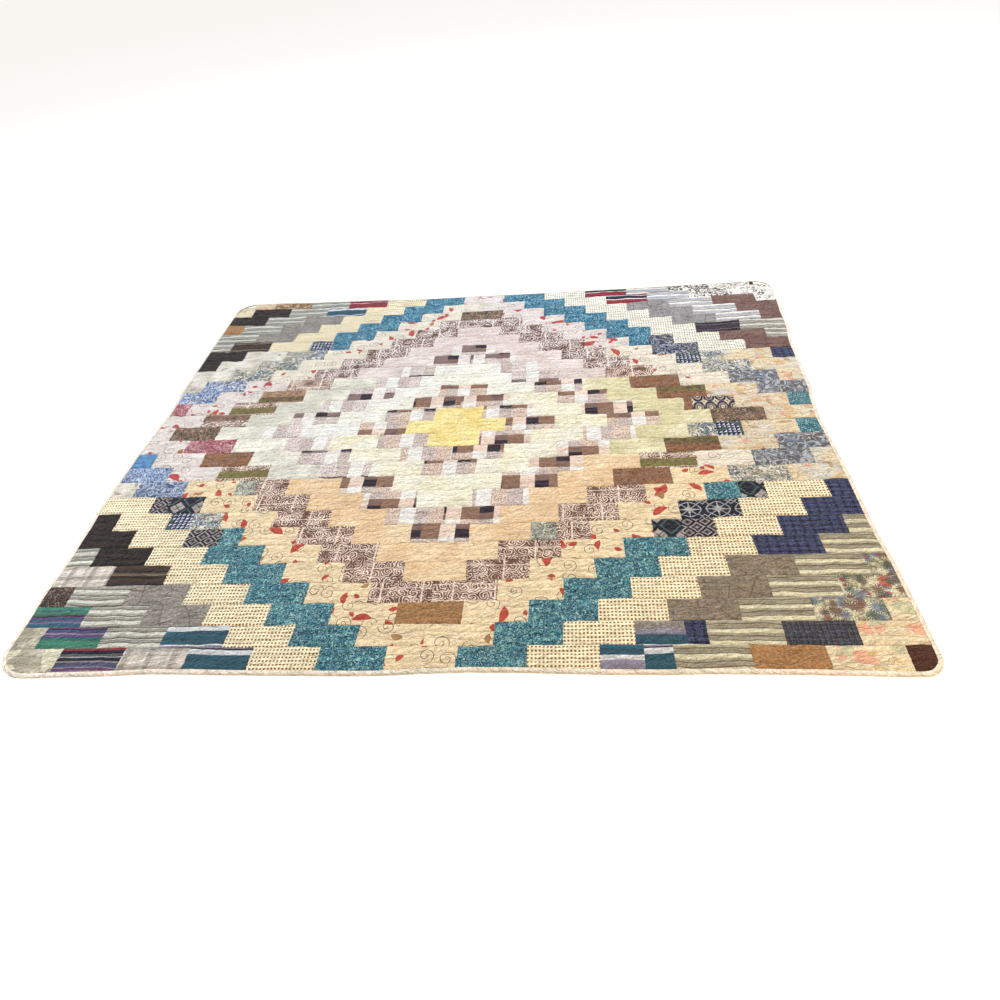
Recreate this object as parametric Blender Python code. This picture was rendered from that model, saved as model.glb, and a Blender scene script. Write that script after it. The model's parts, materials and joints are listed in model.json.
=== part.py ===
"""A patchwork bed quilt that lies flat and face up: two solids.

quilt_body is the patchwork top, wadding and backing as one quilted sandwich. Its top is
raised in long rows between the stitched quilting lines. binding is the folded strip that
closes the edge all the way round. Metres, +Z up, origin at the centre of the underside.
"""

import math
import bpy
import numpy as np

# Size of the finished quilt
WIDTH = 2.471
DEPTH = 2.099
BINDING_WIDTH = 0.0115
BINDING_HEIGHT = 0.0054
NODE_GAP = 0.0003

# Piecing and quilting
PATCH_DEPTH = 0.0762
LINES_PER_PATCH = 3
LINE_PITCH = PATCH_DEPTH / LINES_PER_PATCH

# Thickness of the sandwich
STITCH_HEIGHT = 0.0052
CHANNEL_RISE = 0.0021
EDGE_HEIGHT = 0.0043
EDGE_TAPER = 0.022
UNEVEN_RISE = 0.0005

# How round the shapes are: 1 is a straight slope, less is fuller
PUFF_FULLNESS = 0.8
EDGE_FULLNESS = 0.5

# How fine the top is, and where its extra rows lie inside the front and back edges
COLUMNS = 19
STEPS_PER_LINE = 2
EDGE_ROWS = (0.0, 0.0016, 0.0058)
EVEN_ROWS_FROM = 0.012

# Each corner's radius
CORNER_RADIUS = {
    "front_left": 0.095,
    "front_right": 0.055,
    "back_left": 0.088,
    "back_right": 0.080,
}

# How far each edge runs inside the full size: (place along the edge, inset), metres
LEFT_INSET = ((-1.05, 0.027), (-0.90, 0.029), (-0.76, 0.022), (-0.65, 0.025), (-0.52, 0.019),
              (-0.37, 0.009), (-0.14, 0.008), (-0.02, 0.015), (0.15, 0.020), (0.34, 0.007),
              (0.66, 0.003), (1.05, 0.000))
RIGHT_INSET = ((-1.05, 0.050), (-0.87, 0.050), (-0.72, 0.052), (-0.54, 0.061), (-0.34, 0.060),
               (-0.13, 0.063), (-0.02, 0.067), (0.08, 0.059), (0.18, 0.046), (0.28, 0.044),
               (0.45, 0.036), (0.68, 0.014), (0.92, 0.001), (1.05, 0.000))
FRONT_INSET = ((-1.24, 0.000), (-1.08, 0.000), (-0.95, 0.005), (-0.73, 0.014), (-0.56, 0.010),
               (-0.20, 0.008), (0.06, 0.019), (0.22, 0.018), (0.37, 0.013), (0.50, 0.011),
               (0.65, 0.015), (0.90, 0.012), (1.10, 0.006), (1.24, 0.008))
BACK_INSET = ((-1.24, 0.000), (-1.04, 0.001), (-0.88, 0.013), (-0.64, 0.021), (-0.33, 0.039),
              (-0.06, 0.040), (0.30, 0.042), (0.60, 0.042), (0.90, 0.038), (1.24, 0.034))

# Long soft swells left in the laid quilt: (length along x, length along y, phase, share)
SWELLS = ((0.93, 1.31, 0.4, 0.45), (0.57, 0.71, 1.9, 0.30), (0.38, 0.52, 3.1, 0.25))

# Low ripples where the right side isn't pulled flat: (x, y, reach, rise)
RIPPLES = ((1.09, 0.52, 0.075, 0.0021), (1.05, 0.66, 0.065, 0.0018), (1.12, 0.20, 0.070, 0.0016),
           (-1.03, -0.14, 0.080, 0.0014), (-1.00, 0.83, 0.075, 0.0012))

# Cross-section of the binding from the inner seam over the fold: (share of width, share of height)
BINDING_PROFILE = ((0.0, 0.0), (0.0, 0.80), (0.34, 1.0), (0.78, 0.86), (1.0, 0.36), (1.0, 0.0))

COTTON_PRINT = (0.62, 0.55, 0.46, 1.0)
COTTON_CREAM = (0.82, 0.77, 0.69, 1.0)


def clear_scene():
    """Remove every object of the start scene."""
    for item in list(bpy.data.objects):
        bpy.data.objects.remove(item, do_unlink=True)


def eased(table, place):
    """Read a table of (place, value) rows at a place, with a soft cosine step between rows."""
    rows = np.array(table)
    place = np.clip(place, rows[0, 0], rows[-1, 0])
    step = np.clip(np.searchsorted(rows[:, 0], place, side="right") - 1, 0, len(rows) - 2)
    share = (place - rows[step, 0]) / (rows[step + 1, 0] - rows[step, 0])
    share = 0.5 - 0.5 * np.cos(math.pi * share)
    return rows[step, 1] + share * (rows[step + 1, 1] - rows[step, 1])


def corner_inset(away, radius):
    """How far a rounded corner draws the side in, at a distance from the end edge."""
    inside = np.clip(radius - away, 0.0, radius)
    return radius - np.sqrt(radius * radius - inside * inside)


def row_places():
    """The places of the top's rows across the depth, on and between the stitched lines."""
    half = DEPTH / 2 - BINDING_WIDTH - NODE_GAP
    step = LINE_PITCH / STEPS_PER_LINE
    count = int((half - EVEN_ROWS_FROM) / step)
    inner = np.arange(-count, count + 1) * step
    ends = half - np.array(EDGE_ROWS)
    return np.concatenate([-ends, inner, ends[::-1]]), half


def body_grid():
    """x and y of the sandwich: rows across the depth, columns across the width."""
    places, half = row_places()
    share = np.linspace(0.0, 1.0, COLUMNS + 1)[None, :]
    y = places[:, None] + np.zeros_like(share)
    hem = BINDING_WIDTH + NODE_GAP
    front = half + y
    back = half - y
    left = corner_inset(front, CORNER_RADIUS["front_left"] - hem)
    left = left + corner_inset(back, CORNER_RADIUS["back_left"] - hem)
    right = corner_inset(front, CORNER_RADIUS["front_right"] - hem)
    right = right + corner_inset(back, CORNER_RADIUS["back_right"] - hem)
    low = -WIDTH / 2 + hem + left + eased(LEFT_INSET, y)
    high = WIDTH / 2 - hem - right - eased(RIGHT_INSET, y)
    x = low + share * (high - low)
    rise = (y + half) / (2 * half)
    y = y + (1 - rise) * eased(FRONT_INSET, x) - rise * eased(BACK_INSET, x)
    return x, y


def body_height(x, y, rows_y, edge):
    """Height of the top: raised between stitched lines, thinner at the edge, with soft swells."""
    phase = rows_y / LINE_PITCH + 0.5
    puff = np.abs(np.sin(math.pi * phase)) ** PUFF_FULLNESS
    swell = np.zeros_like(x)
    for long_x, long_y, start, part in SWELLS:
        across = np.sin(2 * math.pi * x / long_x + start)
        along = np.cos(2 * math.pi * y / long_y - start)
        swell = swell + part * across * along
    ripple = np.zeros_like(x)
    for at_x, at_y, reach, rise in RIPPLES:
        away = ((x - at_x) ** 2 + (y - at_y) ** 2) / reach ** 2
        ripple = ripple + rise * np.exp(-away)
    full = STITCH_HEIGHT + CHANNEL_RISE * puff + UNEVEN_RISE * swell + ripple
    share = np.clip(edge / EDGE_TAPER, 0.0, 1.0) ** EDGE_FULLNESS
    return EDGE_HEIGHT + (full - EDGE_HEIGHT) * share


def loop_indices(rows, cols):
    """Index of each grid point on the border, going round counterclockwise from front left."""
    front = [(0, col) for col in range(cols)]
    right = [(row, cols - 1) for row in range(1, rows)]
    back = [(rows - 1, col) for col in range(cols - 2, -1, -1)]
    left = [(row, 0) for row in range(rows - 2, 0, -1)]
    return [row * cols + col for row, col in front + right + back + left]


def add_solid(name, points, faces, colour):
    """One closed object with its own plain cloth material."""
    mesh = bpy.data.meshes.new(name)
    mesh.from_pydata([tuple(point) for point in points], [], faces)
    mesh.validate()
    mesh.update()
    item = bpy.data.objects.new(name, mesh)
    bpy.context.scene.collection.objects.link(item)
    material = bpy.data.materials.new(name)
    material.use_nodes = True
    shader = material.node_tree.nodes["Principled BSDF"]
    shader.inputs["Base Color"].default_value = colour
    shader.inputs["Roughness"].default_value = 0.9
    mesh.materials.append(material)
    return item


def build_body(x, y, shift):
    """The quilted sandwich: a raised grid on top, straight walls and one flat underside."""
    rows, cols = x.shape
    flat = np.stack([x.ravel(), y.ravel()], axis=1)
    border = loop_indices(rows, cols)
    rim = flat[border]
    apart = np.linalg.norm(flat[:, None, :] - rim[None, :, :], axis=2).min(axis=1).reshape(rows, cols)
    places, _ = row_places()
    rows_y = places[:, None] + np.zeros_like(x)
    height = body_height(x, y, rows_y, apart)
    top = np.column_stack([flat, height.ravel()])
    low = np.column_stack([rim, np.zeros(len(rim))])
    points = np.vstack([top, low]) + np.array([shift[0], shift[1], 0.0])
    faces = []
    for row in range(rows - 1):
        for col in range(cols - 1):
            start = row * cols + col
            faces.append((start, start + 1, start + cols + 1))
            faces.append((start, start + cols + 1, start + cols))
    first = rows * cols
    count = len(border)
    for step in range(count):
        after = (step + 1) % count
        faces.append((border[after], border[step], first + step, first + after))
    faces.append(tuple(first + step for step in range(count - 1, -1, -1)))
    add_solid("quilt_body", points, faces, COTTON_PRINT)
    return rim


def offset_loop(loop, away):
    """Move each side of a closed counterclockwise loop outwards by the same distance."""
    ahead = np.roll(loop, -1, axis=0) - loop
    ahead = ahead / np.linalg.norm(ahead, axis=1)[:, None]
    normal = np.column_stack([ahead[:, 1], -ahead[:, 0]])
    before = np.roll(normal, 1, axis=0)
    middle = normal + before
    middle = middle / np.linalg.norm(middle, axis=1)[:, None]
    reach = away / np.sum(middle * normal, axis=1)
    return loop + middle * reach[:, None]


def build_binding(rim, shift):
    """The folded strip: its cross-section carried round the sandwich, a small gap away."""
    rings = []
    for share, lift in BINDING_PROFILE:
        ring = offset_loop(rim, NODE_GAP + share * BINDING_WIDTH)
        rings.append(np.column_stack([ring, np.full(len(ring), lift * BINDING_HEIGHT)]))
    points = np.vstack(rings) + np.array([shift[0], shift[1], 0.0])
    count = len(rim)
    steps = len(rings)
    faces = []
    for ring in range(steps):
        following = (ring + 1) % steps
        for step in range(count):
            after = (step + 1) % count
            faces.append((ring * count + step, ring * count + after,
                          following * count + after, following * count + step))
    faces = [tuple(reversed(face)) for face in faces]
    return add_solid("binding", points, faces, COTTON_CREAM)


def main():
    """Build both solids about the centre of the finished outline."""
    clear_scene()
    x, y = body_grid()
    rows, cols = x.shape
    rim = np.stack([x.ravel(), y.ravel()], axis=1)[loop_indices(rows, cols)]
    outer = offset_loop(rim, NODE_GAP + BINDING_WIDTH)
    shift = -(outer.min(axis=0) + outer.max(axis=0)) / 2
    rim = build_body(x, y, shift)
    build_binding(rim, shift)


main()
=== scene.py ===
"""A patchwork bed quilt lying flat on a pale floor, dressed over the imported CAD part.

The top is pieced patch by patch in stepped diamond rings of brick-shaped patches, quilted
in narrow wavy rows, and closed by a folded binding. Metres, +Z up, underside at z = 0.
"""

import json
import math

import bpy
import numpy as np
from mathutils import Matrix

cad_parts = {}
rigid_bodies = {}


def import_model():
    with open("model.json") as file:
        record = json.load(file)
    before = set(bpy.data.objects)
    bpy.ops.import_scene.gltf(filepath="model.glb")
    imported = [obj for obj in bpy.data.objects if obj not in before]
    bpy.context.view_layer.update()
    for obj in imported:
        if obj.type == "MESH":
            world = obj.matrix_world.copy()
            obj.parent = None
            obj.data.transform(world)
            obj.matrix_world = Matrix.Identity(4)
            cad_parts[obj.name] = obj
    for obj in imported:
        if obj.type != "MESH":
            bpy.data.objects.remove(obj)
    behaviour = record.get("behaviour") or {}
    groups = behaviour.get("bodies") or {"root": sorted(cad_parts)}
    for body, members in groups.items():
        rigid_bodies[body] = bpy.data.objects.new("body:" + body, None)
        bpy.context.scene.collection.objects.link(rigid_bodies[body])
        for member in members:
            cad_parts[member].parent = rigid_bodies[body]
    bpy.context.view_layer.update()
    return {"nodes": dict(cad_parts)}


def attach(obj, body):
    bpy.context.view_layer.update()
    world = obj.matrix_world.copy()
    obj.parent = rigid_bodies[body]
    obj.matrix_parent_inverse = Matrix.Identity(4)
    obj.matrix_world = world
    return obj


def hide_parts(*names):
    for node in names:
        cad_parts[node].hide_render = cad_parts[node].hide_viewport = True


bl_info = {
    "name": "Patchwork Quilt",
    "version": (1, 0, 0),
    "blender": (4, 5, 0),
    "location": "View3D > Sidebar > Quilt",
    "description": "Builds a quilted patchwork top, its backing, its binding and a plain studio",
    "category": "Object",
}

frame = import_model()

# Size of a patch between its seams, and the quilting lines in a row of patches
PATCH_WIDTH = 0.178
PATCH_DEPTH = 0.0762
LINES_PER_PATCH = 3
LINE_PITCH = PATCH_DEPTH / LINES_PER_PATCH

# Where the middle of the piecing lies from the middle of the outline
PIECING_X = -0.0565
PIECING_Y = -0.0055
# Rows of patches before and behind the middle one, and the least end of a row that is a patch
ROWS_EACH_WAY = 13
SHORTEST_END = 0.016
# Half of the piecing in depth and across, by which the straying below is read
ROW_SPAN = 1.03
SIDE_SPAN = 1.2

# How far the rows of patches stray from a true lattice, in millimetres:
# (place in depth, from -1 at the front to 1 at the back, strayed to the right)
ROWS_RIGHT = (
    (-1.0, -2), (-0.75, 2), (-0.5, -5), (-0.25, -13), (0.0, -15), (0.25, -8), (0.5, 5), (0.75, 17),
    (1.0, 18),
)
# (place in depth, strayed to the back)
ROWS_BACK = (
    (-1.0, 10), (-0.875, 0), (-0.75, -5), (-0.5, -7), (0.0, -4), (0.25, -5), (0.5, -11), (0.75, -18),
    (1.0, -25),
)
# More straying at the sides, in millimetres: rows fan out, spread, bow, tilt and sway
SEAM_FAN = 13
SEAM_SPREAD = 20
SEAM_LEAN = -9
ROW_BOW = 16
ROW_FAN = 36
ROW_TILT = -8
ROW_SWAY = 5

# Unevenness as layers of smooth noise: (height, length along x, length along y, seed), metres
SEAM_WOBBLE = ((0.0030, 0.13, 0.09, 41), (0.0010, 0.045, 0.04, 42))
ROW_WOBBLE = ((0.0032, 0.11, 0.13, 43), (0.0012, 0.040, 0.05, 44))
SWELLS = ((0.0005, 0.33, 0.30, 14),)
# The same in shares of the space between two quilting lines
LINE_WANDER = (0.24, 0.055, 0.030, 5)
LINE_DRIFT = (0.20, 0.42, 0.20, 6)
# Along a line of quilting: (height, length along x, turn from one row of patches to the next)
LINE_SWAY = (0.10, 0.041, 2.3)
# Smooth noise in shares of the gathers' and the creases' rise
GATHERS = (1.0, 0.016, 0.030, 12)
RIDGES = (2.2, 0.060, 0.016, 13)
CROSS_RIDGES = (1.8, 0.045, 0.020, 15)
# The same in shares of the puffs' rise and of the binding's width
PUFF_CHANGE = (0.30, 0.050, 0.022, 11)
BINDING_PULL = ((0.07, 0.014, 1.0, 31), (0.06, 0.05, 1.0, 32))

# How full the quilting and the edge are: 1 is a straight slope, less is fuller
PUFF_FULLNESS = 0.75
EDGE_FULLNESS = 0.5
# The edge is level this far in from the binding, then rises over the taper, metres
EDGE_LEVEL = 0.0018
EDGE_TAPER = 0.016

# How finely the pieces are cut: points of a patch, of the backing and round the binding
PATCH_POINTS = (34, 22)
BACKING_POINTS = (61, 300)
BINDING_POINTS = 1500

# How the cloth turns down at a seam, in metres: its first step in, its reach and its last drop.
# The second step in is this many times the first.
SEAM_TURN = 0.0011
SECOND_TURN = 2.6
SEAM_REACH = 0.0022
SEAM_END_DROP = 0.0002

# Patches are cut anywhere in this length of cloth, and this share of them the right way up
CLOTH_LENGTH = 3.0
CUT_UPRIGHT = 0.65

# The backing: extra rows inside the front and back edges, where its even rows start, its level
# edge, the rise of its channels under the stitches, and its top under the patches' base
BACKING_EDGE_ROWS = (0.0, 0.0012, 0.004, 0.009, 0.016, 0.026, 0.040, 0.058)
BACKING_EVEN_FROM = 0.07
BACKING_LEVEL_EDGE = 0.010
CHANNEL_RISE = 0.0007
UNDER_PATCHES = 0.0002

# Cross-section of the binding from under the top over the fold: (share of width, of height)
BINDING_PROFILE = (
    (0.03, 0.02), (0.02, 0.86), (-0.18, 0.88), (-0.22, 0.93), (-0.14, 0.98), (0.20, 0.99), (0.46, 1.0),
    (0.68, 0.93), (0.86, 0.76), (0.96, 0.52), (1.0, 0.28), (0.97, 0.08), (0.88, 0.0),
)
# Width of cloth over the fold, and the gap that the CAD leaves between its two solids
BINDING_GIRTH = 0.022
NODE_GAP = 0.0003

# Finish of the cotton, depth of its threads and puckers, and the painted shade in ditches and creases
COTTON_ROUGHNESS = 0.88
COTTON_SHINE = 0.12
COTTON_SHEEN = (0.07, 0.5)
THREAD_DEPTH = 0.00025
THREAD_STRENGTH = 0.25
PUCKER_DEPTH = 0.0050
DITCH_SHADE = 0.48
CREASE_SHADE = 0.20
STITCH_SHOWN = 0.08

# The floor, a little under the quilt
FLOOR_DROP = 0.0006
FLOOR_PAINT = (0.93, 0.93, 0.93, 1.0)
FLOOR_ROUGHNESS = 0.95
FLOOR_GLOW = 0.25

# Soft lamps: (name, place, radius, colour, the setting of its power, share of that power)
LAMPS = (
    ("window glow", (-0.7, 2.6, 1.8), 0.7, (0.50, 0.74, 1.0), "window_power", 1.0),
    ("back glow", (1.95, 2.0, 1.6), 0.6, (0.85, 0.90, 1.0), "side_power", 1.0),
    ("side glow", (-2.3, -0.8, 1.5), 0.6, (0.80, 0.90, 1.0), "side_power", 0.60),
    ("room glow", (1.9, -1.7, 1.6), 0.6, (1.0, 0.80, 0.48), "room_power", 1.0),
)
# Even lights from far off: (name, towards it, spread in degrees, colour, the setting of its strength)
SUNS = (
    ("window", (-0.62, 0.62, 0.54), 14.0, (1.0, 0.96, 0.95), "window_sun"),
    ("room", (0.55, -0.50, 0.78), 45.0, (1.0, 0.92, 0.82), "room_sun"),
)
SUN_AWAY = 6.0
EVEN_LIGHT = (1.0, 0.98, 0.94, 1.0)
# The camera's sensor in millimetres, and how far it sees in metres
SENSOR_WIDTH = 36.0
SEEN_TO = 200.0

# Threads and sewing, metres
THREAD_PITCH = 0.0011
YARN_PITCH = 0.0026
STITCH_LENGTH = 0.0046
# Whole lines and turns that are added to a count, to keep it above nought
LINES_BEFORE = 40
TURNS_BEFORE = 20
# In shares of the space between two quilting lines
THREAD_HALF = 0.017
DITCH_REACH = 0.075
# In shares of the noise that draws the creases
CREASE_HALF = 0.016
CROSS_CREASE_HALF = 0.014
# Cells of noise to a metre, along and across where they differ
CREASE_CELLS = (30.0, 92.0)
STROKE_CELLS = 46.0
PLEAT_CELLS = 118.0
KEPT_CELLS = 17.0
DITCH_CELLS = 26.0
FADE_CELLS = 11.0
YARN_CELLS = 135.0
# How far the puckers' ridges, ditches and creases rise or fall, in pucker depths
RIDGE_RISE = 3.1
DITCH_FALL = 0.28
CREASE_FALL = 0.30
# Shade of the cotton where it has faded least, and how much more fading gives
FADE_START = 0.90
FADE_SHARE = 0.22

# Prints: where a cloud of the second dye starts and ends in the noise
CLOUD_START = 0.62
CLOUD_END = 0.72
# Stripes: how far they sway, in metres, and cells of the sway to a metre
STRIPE_SWAY = 0.014
SWAY_CELLS = 9.0
# Plaid: where its bands start, and the middle and half width of its thin line
PLAID_STARTS = (0.0, 0.30, 0.52, 0.66, 0.88)
PLAID_LINE = (0.41, 0.05)
# Block plaid: share of its pale blocks down, of its plain band across, and its dark feet as
# (middle, half width) across and down
BLOCK_PALE = 0.62
BLOCK_PLAIN = 0.32
BLOCK_FOOT = ((0.47, 0.15), (0.72, 0.10))

# Soft creases left in the laid quilt: (from x, from y, to x, to y, half width, rise), metres
CREASES = (
    (-0.62, 0.30, -0.12, 0.62, 0.016, 0.0016),
    (-0.45, 0.12, 0.05, 0.38, 0.013, 0.0013),
    (-0.80, 0.05, -0.42, 0.26, 0.012, 0.0012),
    (0.30, 0.10, 0.86, 0.34, 0.014, 0.0012),
    (0.52, -0.02, 0.98, 0.16, 0.012, 0.0011),
    (-0.95, -0.42, -0.62, -0.20, 0.014, 0.0012),
    (0.10, -0.36, 0.48, -0.22, 0.012, 0.0010),
    (0.98, 0.44, 1.18, 0.60, 0.022, 0.0020),
    (0.94, 0.62, 1.16, 0.72, 0.020, 0.0018),
)
# How far a crease bends aside, and how much higher than in the table they all are
CREASE_BEND = 0.02
CREASE_FACTOR = 1.5

# Screen colours of the dyes, 0 to 255
DYES = {
    "butter": (240, 219, 152), "butter deep": (234, 207, 128), "milk": (234, 228, 211),
    "milk blue": (228, 225, 217), "milk warm": (230, 220, 188), "pale green": (204, 198, 182),
    "green straw": (210, 199, 157), "peach": (222, 188, 148), "peach light": (230, 203, 166),
    "rose beige": (212, 194, 185), "rose light": (226, 211, 204), "cocoa": (108, 74, 62),
    "blush": (228, 206, 188), "rose white": (215, 202, 194), "snow": (242, 235, 224),
    "pink grey": (208, 192, 184), "pink sand": (224, 200, 182), "mole": (124, 96, 86),
    "nut": (142, 108, 86), "aubergine": (46, 33, 44), "oat": (227, 204, 166), "red": (176, 28, 24),
    "fox": (158, 113, 72), "ink": (56, 46, 46), "teal": (38, 88, 108), "sea": (44, 108, 122),
    "foam": (150, 192, 186), "deep sea": (26, 54, 80), "straw": (240, 225, 190),
    "mustard": (134, 98, 60), "charcoal": (43, 31, 24), "coal": (21, 17, 17), "stone": (136, 128, 119),
    "stone warm": (126, 112, 94), "taupe": (134, 120, 104), "slate": (88, 82, 78), "bark": (84, 66, 52),
    "peat": (66, 46, 34), "sand": (176, 150, 118), "sage": (134, 124, 105), "sage deep": (74, 65, 53),
    "sage pale": (158, 148, 127), "linen": (210, 202, 174), "chalk": (205, 197, 167),
    "steel": (44, 86, 106), "harbour": (44, 78, 92), "ice": (205, 204, 205), "lilac": (132, 124, 140),
    "navy": (32, 38, 76), "midnight": (27, 26, 42), "denim": (70, 73, 104), "indigo": (44, 48, 82),
    "night": (30, 34, 52), "sienna": (155, 115, 76), "umber": (74, 38, 25), "maroon": (140, 72, 80),
    "rose dust": (206, 164, 164), "rust": (143, 98, 64), "russet": (118, 90, 80), "olive": (114, 98, 58),
    "moss": (122, 116, 66), "pewter": (143, 134, 125), "espresso": (58, 46, 41), "walnut": (130, 94, 84),
    "sable": (104, 74, 66), "cobalt": (88, 138, 176), "cornflower": (80, 110, 158),
    "haze": (178, 190, 208), "fjord": (96, 108, 128), "cloud": (174, 176, 178),
    "marble": (110, 110, 116), "emerald": (60, 120, 98), "plum": (102, 64, 104), "wine": (132, 36, 50),
    "petal": (216, 158, 134), "fern": (182, 178, 146), "lichen": (158, 158, 136), "spruce": (66, 88, 78),
    "coral": (178, 84, 56), "cedar": (108, 74, 60), "ivory": (214, 195, 163), "smoke": (158, 148, 142),
    "fawn": (188, 176, 160), "wheat": (204, 174, 130), "ash": (222, 213, 200), "azure": (28, 88, 116),
    "lagoon": (42, 110, 136), "mist": (140, 186, 196), "bone": (199, 194, 182), "reed": (126, 121, 109),
    "reed pale": (154, 150, 137), "reed deep": (80, 74, 65), "paper": (229, 223, 215),
    "rose cream": (221, 209, 190), "mauve": (134, 110, 108), "dove": (145, 140, 138),
    "dove deep": (131, 126, 125), "dove pale": (182, 176, 174),
}

# Scroll prints, the frame that parts their scrolls, and leaves: each leaf layer is (how many
# to a metre, size, petals or none, shape, share kept, dye, seed)
SCROLL_FRAME = (0.116, 0.058)
SCROLL = dict(ground="blush", ink="cocoa", cells=34, pitch=0.0078)
# The back's scrolls: broader, on a pinker ground that is painted glare
BROAD_SCROLL_GLARE = dict(ground="rose light", ink="cocoa", cells=25, pitch=0.0104)
RED_LEAVES = (
    (10.0, 0.0270, 0, 0.42, 0.55, "red", 1.0), (17.0, 0.0120, 0, 0.60, 0.34, "red", 17.0),
    (11.0, 0.0150, 0, 0.55, 0.20, "fox", 7.0),
)

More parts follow.
